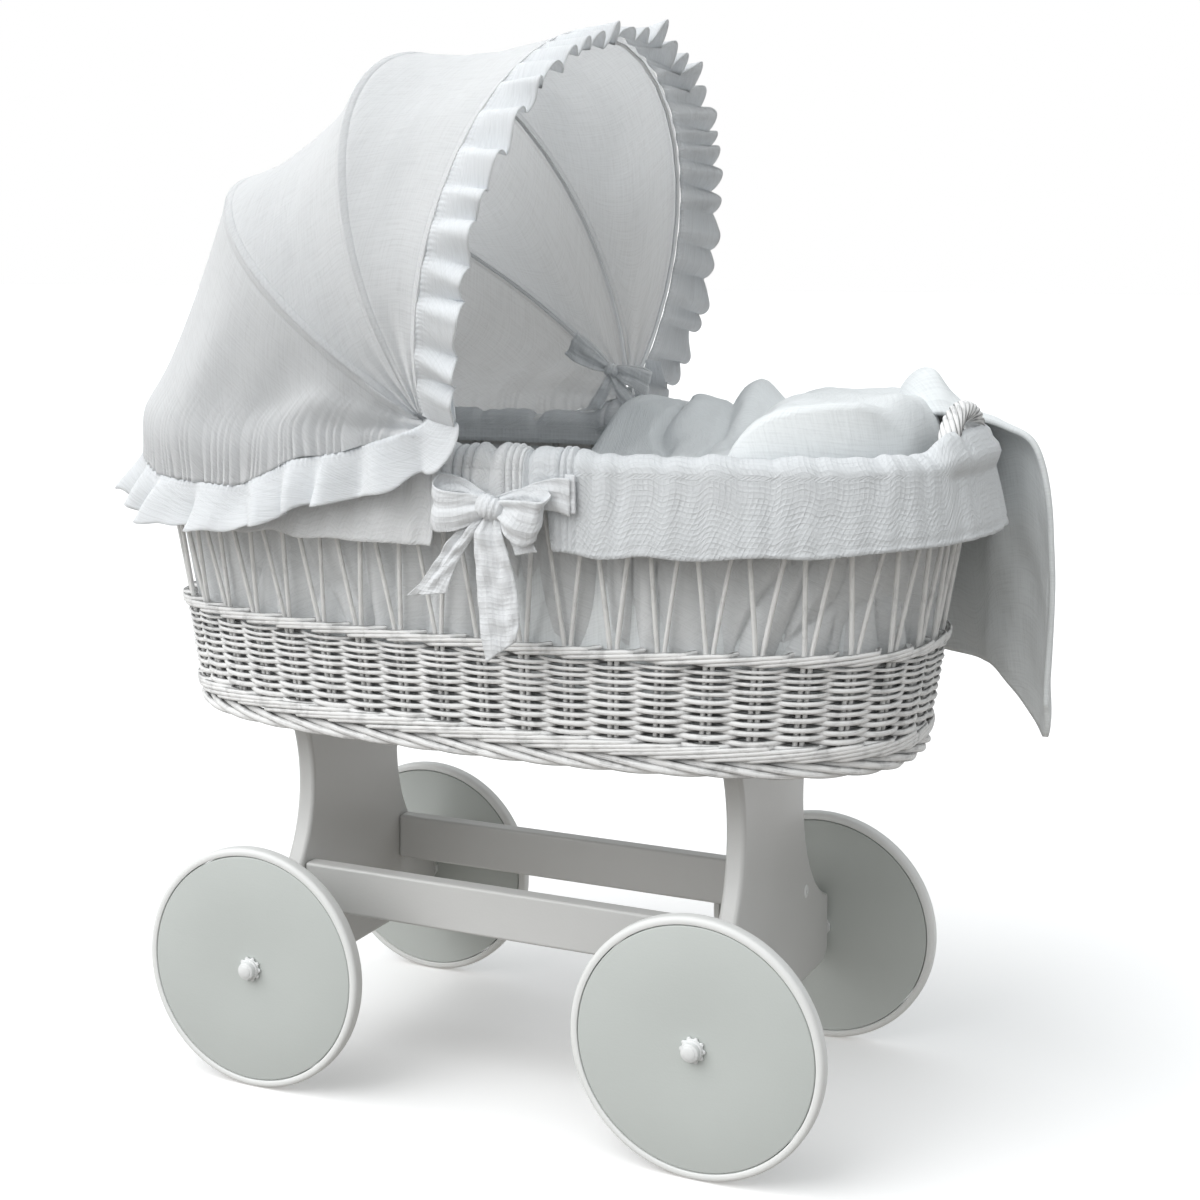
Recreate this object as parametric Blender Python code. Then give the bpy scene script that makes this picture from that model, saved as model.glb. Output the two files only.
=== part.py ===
"""A wicker bassinet on a wheeled wooden stand, with a folding three-hoop hood.

Metres, +Z up. X runs along the basket, from the head (-X, under the hood) to the foot (+X).
-Y is the near side. The origin is on the floor, under the middle of the object.
"""

from math import acos, cos, degrees, pi, radians, sin, sqrt

import bmesh
import bpy
from mathutils import Matrix, Vector

GAP = 0.0003  # left between pieces that touch

# Stand
WHEEL_RADIUS = 0.125
WHEEL_WIDTH = 0.0166
WHEEL_SEGMENTS = 32
WHEEL_BASE = 0.484  # between the axles, along X
WHEEL_FACE_Y = 0.2079  # a wheel's outer face from the middle of the stand
BAND_WALL = 0.0078  # the rim band round a wheel's disc
PANEL_THICKNESS = 0.020
PANEL_BOTTOM = 0.092
PANEL_TOP = 0.367
PANEL_HALF_WIDTH = 0.1865  # at the wheels
WAIST_HALF_WIDTH = 0.0945
WAIST_Z = 0.295
RAIL_Y = 0.105
RAIL_BOTTOM = 0.164
RAIL_HEIGHT = 0.0495
RAIL_THICKNESS = 0.020
AXLE_RADIUS = 0.004
PIN_RADIUS = 0.002  # of the hood's pivot pins
RUNNING_GAP = 0.0001  # round a shaft in a bore that turns on it
BOLT_RADIUS = 0.003

# Basket: its outer wall is an oval that widens steadily upwards
BASKET_BOTTOM = 0.373
BASKET_HALF_LENGTH = 0.395  # at BASKET_BOTTOM
BASKET_HALF_WIDTH = 0.195  # at BASKET_BOTTOM
BASKET_FLARE = 1 / 6  # outwards for each metre upwards
OVAL_POWER = 2.6
FOOT_BORDER_RADIUS = 0.0105
WALL_BOTTOM = 0.3945
WALL_TOP = 0.478
WALL_THICKNESS = 0.008
WALING_TOP = 0.4935
RIM_RADIUS = 0.011
RIM_Z = 0.662  # centre of the rim's roll
STAKE_GROUPS = 30
OVAL_STEPS = 36  # round the basket
STAKE_RADIUS = 0.0024
COVER_THICKNESS = 0.003
MATTRESS_TOP = 0.445
BLANKET_THICKNESS = 0.006
COVER_HEM_Z = 0.585
COVER_SEAM_X = 0.085  # where the head and foot covers meet

# Hood
PIVOT_X = -0.012
PIVOT_Z = 0.699
HOOP_RADIUS = 0.0020
HOOP_FOOT_Y = {"rear": 0.2400, "middle": 0.2443, "front": 0.2486}
HOOP_ANGLE = {"rear": 141.9, "middle": 109.8, "front": 79.4}  # degrees up from +X
HOOP_HALF_WIDTH = {"rear": 0.282, "middle": 0.293, "front": 0.310}
HOOP_BULGE = {"rear": 0.260, "middle": 0.252, "front": 0.243}  # upright radius of the arch
EYE_BORE = PIN_RADIUS + 0.00025  # to the corners of an eight-sided bore
FABRIC = 0.0012
FABRIC_STANDOFF = 0.0052  # from a hoop's centre line to the fabric over it
PANEL_SAG = 0.010
SEAM_GAP = 0.0015  # from a hoop's line to the edge of the fabric on either side
HEM_HALF_LENGTH = 0.449  # of the oval that the rear panel's hem follows
HEM_HALF_WIDTH = 0.262
RUFFLE_WIDTH = 0.045
END_REACH = 0.4955  # of the rear ruffle and of the blanket, from the middle


# ---------------------------------------------------------------- scene and materials
def clear_scene():
    for obj in list(bpy.data.objects):
        bpy.data.objects.remove(obj, do_unlink=True)


def material(name, colour, roughness, metallic=0.0):
    made = bpy.data.materials.new(name)
    made.use_nodes = True
    shader = made.node_tree.nodes["Principled BSDF"]
    shader.inputs["Base Color"].default_value = (*colour, 1.0)
    shader.inputs["Roughness"].default_value = roughness
    shader.inputs["Metallic"].default_value = metallic
    return made


def empty(name, location, parent=None):
    made = bpy.data.objects.new(name, None)
    made.location = location
    made.parent = parent
    bpy.context.scene.collection.objects.link(made)
    return made


def add_object(name, mesh, surface, parent=None):
    """The mesh comes in the stand's coordinates, and is stored about its parent empty."""
    made = bpy.data.objects.new(name, mesh)
    bpy.context.scene.collection.objects.link(made)
    mesh.materials.append(surface)
    if parent:
        mesh.transform(Matrix.Translation(-parent.location))
        made.parent = parent
    return made


def finished(bm, smooth_below=40):
    """A mesh from the bmesh, with its faces outwards and smooth except at sharp edges."""
    bmesh.ops.recalc_face_normals(bm, faces=bm.faces)
    mesh = bpy.data.meshes.new("shape")
    bm.to_mesh(mesh)
    bm.free()
    mesh.shade_smooth()
    mesh.set_sharp_from_angle(angle=radians(smooth_below))
    return mesh


# ---------------------------------------------------------------- shapes
def grid_faces(bm, rows, close_rows=False, close_columns=False):
    """Quads between rows of vertices, optionally joined round in either direction."""
    count = len(rows[0])
    for i in range(len(rows) if close_rows else len(rows) - 1):
        here, after = rows[i], rows[(i + 1) % len(rows)]
        for j in range(count if close_columns else count - 1):
            k = (j + 1) % count
            bm.faces.new((here[j], here[k], after[k], after[j]))


def turned(profile, centre, segments, ring=False):
    """A solid of revolution about the Y axis through centre.

    The profile holds (radius, y) points. A ring's profile is closed and clear of the axis;
    any other is closed by flat ends.
    """
    bm = bmesh.new()
    rows = []
    for step in range(segments):
        # A vertex straight down, so that a wheel's lowest point is its radius below its hub
        angle = 2 * pi * step / segments - pi / 2
        rows.append(
            [
                bm.verts.new(centre + Vector((r * cos(angle), y, r * sin(angle))))
                for r, y in profile
            ]
        )
    grid_faces(bm, rows, close_rows=True, close_columns=ring)
    if not ring:
        bm.faces.new([row[0] for row in rows])
        bm.faces.new([row[-1] for row in rows])
    return finished(bm)


def outward_lathe(profile, hub, side, segments, ring=False):
    """turned() with y counted outwards from the middle of the stand, on either side."""
    return turned([(r, side * y) for r, y in profile], Vector((hub.x, 0, hub.z)), segments, ring)


def extruded(outline, low, high, axis):
    """A flat outline of two coordinates, pushed from low to high along the third axis."""
    place = {
        "X": lambda a, b, c: (c, a, b),
        "Y": lambda a, b, c: (a, c, b),
        "Z": lambda a, b, c: (a, b, c),
    }[axis]
    bm = bmesh.new()
    rows = [[bm.verts.new(place(a, b, c)) for a, b in outline] for c in (low, high)]
    grid_faces(bm, rows, close_columns=True)
    bm.faces.new(rows[0])
    bm.faces.new(rows[1])
    return finished(bm)


def box(low, high):
    outline = [(low[0], low[1]), (high[0], low[1]), (high[0], high[1]), (low[0], high[1])]
    return extruded(outline, low[2], high[2], "Z")


def tube(path, radius, sides, closed=False):
    """A round tube along a path of points, with flat ends."""
    bm = bmesh.new()
    rows = []
    count = len(path)
    across = None
    for i, point in enumerate(path):
        before = path[i - 1] if closed or i else point
        after = path[(i + 1) % count] if closed or i < count - 1 else point
        along = (Vector(after) - Vector(before)).normalized()
        if across is None:
            across = along.cross(Vector((0.31, 0.17, 0.93))).normalized()
        across = (across - along * across.dot(along)).normalized()
        other = along.cross(across)
        ring = []
        for step in range(sides):
            angle = 2 * pi * step / sides
            offset = across * cos(angle) + other * sin(angle)
            ring.append(bm.verts.new(Vector(point) + offset * radius))
        rows.append(ring)
    grid_faces(bm, rows, close_rows=closed, close_columns=True)
    if not closed:
        bm.faces.new(rows[0])
        bm.faces.new(rows[-1])
    return finished(bm, 80)


def surface(points, close_rows=False):
    """An open surface through a grid of points."""
    bm = bmesh.new()
    rows = [[bm.verts.new(point) for point in row] for row in points]
    grid_faces(bm, rows, close_rows=close_rows)
    return finished(bm, 80)


def shell_between(outer, inner, closed_round=True):
    """A closed wall from matching rings of points: up the outside, over, down the inside."""
    bm = bmesh.new()
    columns = [
        [bm.verts.new(p) for p in out] + [bm.verts.new(p) for p in reversed(into)]
        for out, into in zip(outer, inner)
    ]
    grid_faces(bm, columns, close_rows=closed_round, close_columns=True)
    return finished(bm)


def thicken(obj, thickness, offset=0.0):
    modifier = obj.modifiers.new("thickness", "SOLIDIFY")
    modifier.thickness = thickness
    modifier.offset = offset
    modifier.use_even_offset = False


def round_edges(obj, width, segments=2):
    modifier = obj.modifiers.new("rounded edges", "BEVEL")
    modifier.width = width
    modifier.segments = segments
    modifier.limit_method = "ANGLE"
    modifier.angle_limit = radians(50)


def helper(name, mesh):
    made = bpy.data.objects.new(name, mesh)
    bpy.context.scene.collection.objects.link(made)
    made.hide_render = True
    made.display_type = "WIRE"
    return made


def boolean(obj, other, operation):
    modifier = obj.modifiers.new(operation.lower(), "BOOLEAN")
    modifier.operation = operation
    modifier.object = other
    modifier.solver = "EXACT"


# ---------------------------------------------------------------- outlines
def smooth_step(low, high, value):
    t = min(1.0, max(0.0, (value - low) / (high - low)))
    return t * t * (3 - 2 * t)


def signed_power(value, power):
    return abs(value) ** power * (1 if value >= 0 else -1)


def oval_point(half_length, half_width, angle, z):
    power = 2 / OVAL_POWER
    return Vector(
        (
            half_length * signed_power(cos(angle), power),
            half_width * signed_power(sin(angle), power),
            z,
        )
    )


def oval(half_length, half_width, z, count):
    return [oval_point(half_length, half_width, 2 * pi * i / count, z) for i in range(count)]


def basket_size(z, inset=0.0):
    """The oval's two half sizes at height z, pulled in from the basket's outer face."""
    grown = BASKET_FLARE * (z - BASKET_BOTTOM) - inset
    return BASKET_HALF_LENGTH + grown, BASKET_HALF_WIDTH + grown


def basket_oval(z, inset, count):
    return oval(*basket_size(z, inset), z, count)


def hoop_point(which, share, standoff=0.0, turn=0.0):
    """A point on a hoop's centre line, for a share from 0 (near foot) to 1 (far foot).

    The hoop is a horseshoe arch in a plane through the pivots, wider above its feet.
    standoff moves the point outwards in that plane, and turn swings the plane in degrees.
    """
    half_width = HOOP_HALF_WIDTH[which]
    bulge = HOOP_BULGE[which]
    foot = -acos(HOOP_FOOT_Y[which] / half_width)
    rise = -bulge * sin(foot)
    angle = pi - foot + share * (2 * foot - pi)
    y = (half_width + standoff) * cos(angle)
    reach = rise + (bulge + standoff) * sin(angle)
    plane = radians(HOOP_ANGLE[which] + turn)
    return Vector((PIVOT_X + reach * cos(plane), y, PIVOT_Z + reach * sin(plane)))


def hoop_path(which):
    """A hoop's centre line: a short upright foot at each pivot, then the arch between them."""
    plane = radians(HOOP_ANGLE[which])
    upwards = Vector((cos(plane), 0, sin(plane)))
    feet = []
    for side in (-1, 1):
        pivot = Vector((PIVOT_X, side * HOOP_FOOT_Y[which], PIVOT_Z))
        feet.append([pivot + upwards * 0.0035, pivot + upwards * 0.010])
    start = 0.035
    arch = [hoop_point(which, start + (1 - 2 * start) * i / 22) for i in range(23)]
    return feet[0] + arch + feet[1][::-1]


def seam_point(share):
    """A point on the hem line where the hood's rear panel meets the rim, near side to far."""
    angle = radians(268 - 176 * share)
    point = oval_point(HEM_HALF_LENGTH, HEM_HALF_WIDTH, angle, 0.0)
    point.z = 0.648 - 0.018 * smooth_step(-0.44, -0.34, point.x)
    point.z += 0.036 * smooth_step(-0.24, -0.13, point.x)
    point.z += 0.022 * smooth_step(-0.13, -0.03, point.x)
    return point


def shoulder_point(share):
    """A point above the seam line, where the rear panel turns down over the rim."""
    point = seam_point(share)
    return Vector((point.x * 1.004, point.y * 1.004, 0.694))


# ---------------------------------------------------------------- stand
def panel_half_width(z):
    """Half the width of an end panel: concave sides, one ellipse below the waist, one above."""
    if z >= WAIST_Z:
        radius = 0.16
        return WAIST_HALF_WIDTH + radius - sqrt(radius**2 - (z - WAIST_Z) ** 2)
    drop = (WAIST_Z - z) / 0.1375
    return WAIST_HALF_WIDTH + 0.13 * (1 - sqrt(1 - drop * drop))


def panel_outline():
    shoulder_z = 0.1640
    levels = [PANEL_TOP + (shoulder_z - PANEL_TOP) * i / 8 for i in range(8)]
    side = [(panel_half_width(z), z) for z in levels]
    side += [(PANEL_HALF_WIDTH, shoulder_z), (PANEL_HALF_WIDTH, 0.104), (0.176, PANEL_BOTTOM)]
    return side + [(-y, z) for y, z in reversed(side)]


def rail_ends():
    inner_face = WHEEL_BASE / 2 - PANEL_THICKNESS / 2
    return inner_face - GAP


def drill_along_x(obj, x_from, x_to, y, z, radius, sides=8):
    path = [(x_from, y, z), (x_to, y, z)]
    boolean(obj, helper("drill", tube(path, radius, sides)), "DIFFERENCE")


def drill_along_y(obj, x, y_from, y_to, z, radius, sides=8):
    path = [(x, y_from, z), (x, y_to, z)]
    boolean(obj, helper("drill", tube(path, radius, sides)), "DIFFERENCE")


def make_end_panel(end, sign, surfaces):
    middle = sign * WHEEL_BASE / 2
    half = PANEL_THICKNESS / 2
    mesh = extruded(panel_outline(), middle - half, middle + half, "X")
    panel = add_object(f"end_panel_{end}", mesh, surfaces["stand"])
    round_edges(panel, 0.004, 1)
    rail_z = RAIL_BOTTOM + RAIL_HEIGHT / 2
    for side in (-1, 1):
        start = side * (PANEL_HALF_WIDTH + 0.01)
        stop = side * (PANEL_HALF_WIDTH - 0.046)
        drill_along_y(panel, middle, start, stop, WHEEL_RADIUS, AXLE_RADIUS + GAP * 1.5)
        inner, outer = middle - sign * 0.02, middle + sign * 0.02
        drill_along_x(panel, inner, outer, side * RAIL_Y, rail_z, BOLT_RADIUS + GAP * 1.5)
        face = middle + sign * half
        pocket = face - sign * 0.0028
        drill_along_x(panel, pocket, outer, side * RAIL_Y, rail_z, 0.0080, 10)


def make_rail(name, side, surfaces):
    end = rail_ends()
    y = side * RAIL_Y
    half = RAIL_THICKNESS / 2
    low, high = (-end, y - half, RAIL_BOTTOM), (end, y + half, RAIL_BOTTOM + RAIL_HEIGHT)
    rail = add_object(name, box(low, high), surfaces["stand"])
    round_edges(rail, 0.003, 1)
    for sign in (-1, 1):
        z = RAIL_BOTTOM + RAIL_HEIGHT / 2
        drill_along_x(rail, sign * (end + 0.01), sign * (end - 0.042), y, z, BOLT_RADIUS + GAP * 1.5)


def make_rail_bolt(end, sign, side_name, side, surfaces):
    """A connecting bolt through an end panel into a rail, under a flat round cap."""
    face = WHEEL_BASE / 2 + PANEL_THICKNESS / 2
    y, z = side * RAIL_Y, RAIL_BOTTOM + RAIL_HEIGHT / 2
    profile = [
        (BOLT_RADIUS, face - 0.060),
        (BOLT_RADIUS, face - 0.0025),
        (0.0072, face - 0.0025),
        (0.0072, face + 0.0002),
        (0.0062, face + 0.0008),
    ]
    bm = bmesh.new()
    rows = []
    for step in range(8):
        angle = 2 * pi * step / 8
        row = [bm.verts.new((sign * x, y + r * cos(angle), z + r * sin(angle))) for r, x in profile]
        rows.append(row)
    grid_faces(bm, rows, close_rows=True)
    bm.faces.new([row[0] for row in rows])
    bm.faces.new([row[-1] for row in rows])
    add_object(f"rail_bolt_{end}_{side_name}", finished(bm), surfaces["cap"])


def make_cleat(end, sign, surfaces):
    """The batten on top of an end panel that the basket's floor is screwed to."""
    middle = sign * WHEEL_BASE / 2
    low = (middle - 0.0225, -0.120, PANEL_TOP + GAP)
    high = (middle + 0.0225, 0.120, PANEL_TOP + 0.0165)
    cleat = add_object(f"floor_cleat_{end}", box(low, high), surfaces["stand"])
    round_edges(cleat, 0.002, 1)


def make_stand(surfaces):
    for end, sign in (("head", -1), ("foot", 1)):
        make_end_panel(end, sign, surfaces)
        make_cleat(end, sign, surfaces)
        for side_name, side in (("near", -1), ("far", 1)):
            make_rail_bolt(end, sign, side_name, side, surfaces)
    make_rail("rail_near", -1, surfaces)
    make_rail("rail_far", 1, surfaces)


# ---------------------------------------------------------------- wheels
def disc_profile():
    """A flat disc with a bore, as a closed ring of (radius, y) from its inner face."""
    outer = WHEEL_RADIUS - BAND_WALL - GAP
    low, high = 0.0003, WHEEL_WIDTH - 0.0006
    bore = AXLE_RADIUS + RUNNING_GAP
    return [(bore, low), (outer, low), (outer, high), (bore, high)]


def band_profile():
    """The rounded band round the disc."""
    inner = WHEEL_RADIUS - BAND_WALL
    return [
        (inner, 0.0),
        (WHEEL_RADIUS - 0.0030, 0.0),
        (WHEEL_RADIUS, 0.0040),
        (WHEEL_RADIUS, WHEEL_WIDTH - 0.0040),
        (WHEEL_RADIUS - 0.0030, WHEEL_WIDTH),
        (inner, WHEEL_WIDTH),
    ]


def make_wheel(corner, x_sign, side, surfaces):
    hub = Vector((x_sign * WHEEL_BASE / 2, side * (WHEEL_FACE_Y - WHEEL_WIDTH / 2), WHEEL_RADIUS))
    spin = empty(f"wheel_axis_{corner}", hub)
    inner_face = WHEEL_FACE_Y - WHEEL_WIDTH

    def outwards(profile):
        return [(r, y + inner_face) for r, y in profile]

    disc = outward_lathe(outwards(disc_profile()), hub, side, WHEEL_SEGMENTS, ring=True)
    add_object(f"wheel_disc_{corner}", disc, surfaces["wheel"], spin)
    band = outward_lathe(outwards(band_profile()), hub, side, WHEEL_SEGMENTS, ring=True)
    add_object(f"wheel_band_{corner}", band, surfaces["band"], spin)

    pin = [
        (AXLE_RADIUS, PANEL_HALF_WIDTH - 0.044),
        (AXLE_RADIUS, WHEEL_FACE_Y + 0.0068),
    ]
    add_object(f"axle_pin_{corner}", outward_lathe(pin, hub, side, 12), surfaces["steel"])
    bore = AXLE_RADIUS + 0.0004
    washer = [
        (bore, PANEL_HALF_WIDTH + GAP),
        (0.0115, PANEL_HALF_WIDTH + GAP),
        (0.0115, inner_face - 0.0004),
        (bore, inner_face - 0.0004),
    ]
    washer_mesh = outward_lathe(washer, hub, side, 10, ring=True)
    add_object(f"spacer_washer_{corner}", washer_mesh, surfaces["cap"])
    make_hub_cap(corner, hub, side, surfaces)


def make_hub_cap(corner, hub, side, surfaces):
    """A push-on cap: a flat retaining flange with a stepped dome, hollow over the pin's end."""
    y = WHEEL_FACE_Y
    profile = [
        (0.0128, y + 0.0004),
        (0.0128, y + 0.0022),
        (0.0098, y + 0.0034),
        (0.0096, y + 0.0085),
        (0.0072, y + 0.0112),
        (0.0030, y + 0.0122),
    ]
    cap = add_object(f"hub_cap_{corner}", outward_lathe(profile, hub, side, 12), surfaces["cap"])
    start, stop = side * (y - 0.002), side * (y + 0.0074)
    drill_along_y(cap, hub.x, start, stop, hub.z, AXLE_RADIUS + 2 * GAP)


def make_wheels(surfaces):
    for end, x_sign in (("head", -1), ("foot", 1)):
        for side_name, side in (("near", -1), ("far", 1)):
            make_wheel(f"{end}_{side_name}", x_sign, side, surfaces)


# ---------------------------------------------------------------- basket
def make_floor(surfaces):
    half_length, half_width = basket_size(BASKET_BOTTOM, 2 * FOOT_BORDER_RADIUS + 0.0008)
    outline = [(p.x, p.y) for p in oval(half_length, half_width, 0.0, OVAL_STEPS)]
    mesh = extruded(outline, 0.3838, 0.3925, "Z")
    add_object("basket_floor", mesh, surfaces["wicker"])


def make_foot_border(surfaces):
    z = BASKET_BOTTOM + FOOT_BORDER_RADIUS
    path = basket_oval(z, FOOT_BORDER_RADIUS, OVAL_STEPS)
    add_object("foot_border", tube(path, FOOT_BORDER_RADIUS, 6, closed=True), surfaces["wicker"])


def wall_ring(bottom, top, outer_inset, inner_inset, count):
    def columns(inset):
        return list(zip(basket_oval(bottom, inset, count), basket_oval(top, inset, count)))

    return shell_between(columns(outer_inset), columns(inner_inset))


def make_woven_wall(surfaces):
    mesh = wall_ring(WALL_BOTTOM, WALL_TOP, 0.0, WALL_THICKNESS, OVAL_STEPS)
    add_object("woven_wall", mesh, surfaces["wicker"])
    inner = WALL_THICKNESS + 0.001
    mesh = wall_ring(WALL_TOP + GAP, WALING_TOP, -0.0015, inner, OVAL_STEPS)
    add_object("upper_waling", mesh, surfaces["wicker"])


def make_stake_cage(surfaces):
    """The open band: pairs of stakes that spread upwards into a thin hoop under the rim."""
    top_z = RIM_Z - RIM_RADIUS - 0.0050
    inset = 0.0062
    hoop = tube(basket_oval(top_z, inset, OVAL_STEPS), 0.0042, 4, closed=True)
    cage = add_object("stake_cage", hoop, surfaces["wicker"])
    bm = bmesh.new()
    step = 2 * pi / STAKE_GROUPS
    for group in range(STAKE_GROUPS):
        middle = step * (group + 0.5)
        for lean in (-1, 1):
            foot = oval_at_length(WALING_TOP + 0.001, inset, middle + lean * step * 0.07)
            head = oval_at_length(top_z, inset, middle + lean * step * 0.40)
            stake = tube([foot, head], STAKE_RADIUS, 4)
            bm.from_mesh(stake)
            bpy.data.meshes.remove(stake)
    boolean(cage, helper("stakes", finished(bm)), "UNION")


def oval_at_length(z, inset, share_angle):
    """An oval point for an angle that goes evenly along the oval's length."""
    return oval_point(*basket_size(z, inset), even_angle(share_angle), z)


def even_angle(angle, steps=360):
    """The oval's own angle at the given share of its perimeter."""
    wanted = (angle % (2 * pi)) / (2 * pi) * EVEN_LENGTHS[-1]
    for index in range(steps):
        if EVEN_LENGTHS[index + 1] >= wanted:
            span = EVEN_LENGTHS[index + 1] - EVEN_LENGTHS[index]
            part = (wanted - EVEN_LENGTHS[index]) / span
            return 2 * pi * (index + part) / steps
    return 2 * pi


def oval_lengths(steps=360):
    """Distance along the basket's oval up to each of the steps."""
    ring = oval(BASKET_HALF_LENGTH, BASKET_HALF_WIDTH, 0.0, steps)
    lengths = [0.0]
    for index in range(steps):
        lengths.append(lengths[-1] + (ring[(index + 1) % steps] - ring[index]).length)
    return lengths


EVEN_LENGTHS = oval_lengths()


def rim_line(angle, out=0.0, z=RIM_Z):
    """A point by the rim's centre line, moved outwards along the oval's normal."""
    half_length, half_width = basket_size(RIM_Z, RIM_RADIUS)
    here = oval_point(half_length, half_width, angle, z)
    ahead = oval_point(half_length, half_width, angle + 0.01, z)
    along = (ahead - here).normalized()
    return here + Vector((along.y, -along.x, 0)) * out


def make_rim(surfaces):
    path = [rim_line(2 * pi * i / OVAL_STEPS) for i in range(OVAL_STEPS)]
    add_object("rim_border", tube(path, RIM_RADIUS, 6, closed=True), surfaces["wicker"])


def make_handle(surfaces):
    """The braided loop that stands up from the foot end of the rim."""
    x = basket_size(RIM_Z, RIM_RADIUS)[0]
    foot_z = RIM_Z + RIM_RADIUS + GAP
    path = [Vector((x, -0.044, foot_z))]
    for i in range(13):
        angle = pi * i / 12
        path.append(Vector((x, -0.044 * cos(angle), foot_z + 0.012 + 0.033 * sin(angle))))
    path.append(Vector((x, 0.044, foot_z)))
    add_object("foot_handle", tube(path, 0.0088, 8), surfaces["wicker"])


def make_basket(surfaces):
    make_floor(surfaces)
    make_foot_border(surfaces)
    make_woven_wall(surfaces)
    make_stake_cage(surfaces)
    make_rim(surfaces)
    make_handle(surfaces)


# ---------------------------------------------------------------- bedding
def make_lining(surfaces):
    """The cloth tub inside the wicker, open at the top."""
    floor_z, top_z = 0.3943, 0.636
    bm = bmesh.new()
    rows = []
    for inset, z in ((0.0125, floor_z), (0.0125, top_z), (0.0145, top_z), (0.0145, floor_z + 0.002)):
        rows.append([bm.verts.new(p) for p in basket_oval(z, inset, OVAL_STEPS)])
    grid_faces(bm, rows, close_columns=True)
    bm.faces.new(rows[0])
    bm.faces.new(rows[-1])
    add_object("lining", finished(bm), surfaces["cloth"])


def pillow_mesh(low_ring, rings):
    """A closed cushion from rings of points, with flat ends."""
    bm = bmesh.new()
    rows = [[bm.verts.new(p) for p in ring] for ring in (low_ring, *rings)]
    grid_faces(bm, rows, close_columns=True)
    bm.faces.new(rows[0])
    bm.faces.new(rows[-1])
    return finished(bm)


def make_mattress(surfaces):
    low, high = 0.3966, MATTRESS_TOP

    def ring(z, pull):
        return oval(*basket_size(0.395, 0.0165 + pull), z, OVAL_STEPS)

    rings = [ring(low + 0.008, 0.0), ring(high - 0.010, 0.0), ring(high, 0.010)]
    add_object("mattress", pillow_mesh(ring(low, 0.008), rings), surfaces["cloth"])


def make_duvet(surfaces):
    """The quilt heaped in the foot half, higher towards the foot and along the far side."""
    low = MATTRESS_TOP + GAP
    edge_x = 0.020
    ends = acos((edge_x / BASKET_HALF_LENGTH) ** (OVAL_POWER / 2))

    def ring(z_share, pull):
        points = []
        for i in range(25):
            angle = -ends + 2 * ends * i / 24
            x = oval_point(*basket_size(low), angle, 0.0).x
            start = 0.650 + 0.045 * smooth_step(-0.2, 0.8, sin(angle))
            top = start + (0.722 - start) * smooth_step(edge_x, 0.30, x)
            z = low + (top - low) * z_share
            half_length, half_width = basket_size(z, 0.018)
            half_length, half_width = min(half_length, 0.409), min(half_width, 0.209)
            point = oval_point(half_length - pull, half_width - pull, angle, z)
            point.x = max(point.x, edge_x + pull)
            points.append(point)
        return points

    rings = [ring(0.08, 0.0), ring(0.72, 0.0), ring(0.93, 0.020), ring(1.0, 0.055)]
    add_object("duvet", pillow_mesh(ring(0.0, 0.012), rings), surfaces["cloth"])


def cover_profile(angle):
    """(out, z) points of a rim cover: up inside the rim, over it and down outside."""
    over = RIM_RADIUS + 0.0035
    flare = 0.019 * max(0.0, cos(angle)) ** 3
    hem = COVER_HEM_Z + 0.014 * max(0.0, cos(angle)) ** 3
    points = [(-over, 0.640), (-over, RIM_Z)]
    points += [(-over * cos(pi * i / 4), RIM_Z + over * sin(pi * i / 4)) for i in range(1, 4)]
    points.append((over + flare * 0.35, RIM_Z))
    points.append((over + 0.002 + flare, hem))
    return points


def make_rim_cover(name, angles, surfaces):
    grid = [
        [rim_line(angle, out, z) for out, z in cover_profile(angle)]
        for angle in angles
    ]
    cover = add_object(name, surface(grid), surfaces["cloth"])
    thicken(cover, COVER_THICKNESS)
    return cover


def seam_angle():
    """The oval's angle at the seam between the two rim covers, on the far side."""
    half_length = basket_size(RIM_Z, RIM_RADIUS)[0]
    return acos((COVER_SEAM_X / half_length) ** (OVAL_POWER / 2))


def make_rim_covers(surfaces):
    seam = seam_angle()
    slit = 0.004
    foot = [-seam + slit + (2 * seam - 2 * slit) * i / 18 for i in range(19)]
    head = [seam + slit + (2 * pi - 2 * seam - 2 * slit) * i / 20 for i in range(21)]
    cover = make_rim_cover("rim_cover_foot", foot, surfaces)
    slot = box((0.408, -0.060, 0.668), (0.470, 0.060, 0.72))
    boolean(cover, helper("handle_slot", slot), "DIFFERENCE")
    cover = make_rim_cover("rim_cover_head", head, surfaces)
    for side in (-1, 1):
        ys = sorted((side * 0.205, side * 0.270))
        notch = box((PIVOT_X - 0.014, ys[0], 0.640), (PIVOT_X + 0.014, ys[1], 0.72))
        boolean(cover, helper("pivot_notch", notch), "DIFFERENCE")


def make_blanket(surfaces):
    """The quilted blanket: its upper part lies on the duvet, and the rest hangs outside."""
    angles = [radians(13 + 50 * i / 9) for i in range(10)]
    half_length, half_width = 0.4735, 0.2745
    grid = []
    for angle in angles:
        share = (angle - angles[0]) / (angles[-1] - angles[0])
        hem = 0.370 + 0.070 * smooth_step(0.0, 0.30, share)
        outside = oval_point(half_length, half_width, angle, 0.0)
        reach = END_REACH - BLANKET_THICKNESS / 2
        outside.x = min(outside.x, reach) if share else reach
        inside = oval_point(0.300, 0.150, angle, 0.730)
        crest = oval_point(0.400, 0.205, angle, 0.733)
        over = oval_point(0.464, 0.262, angle, 0.700)
        column = [inside, (inside + crest) / 2 + Vector((0, 0, 0.010)), crest, over]
        for i in range(4):
            part = i / 3
            z = 0.670 + (hem - 0.670) * part
            column.append(Vector((outside.x, outside.y, z)))
        grid.append(column)
    blanket = add_object("blanket", surface(grid), surfaces["cloth"])
    thicken(blanket, BLANKET_THICKNESS)


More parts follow.
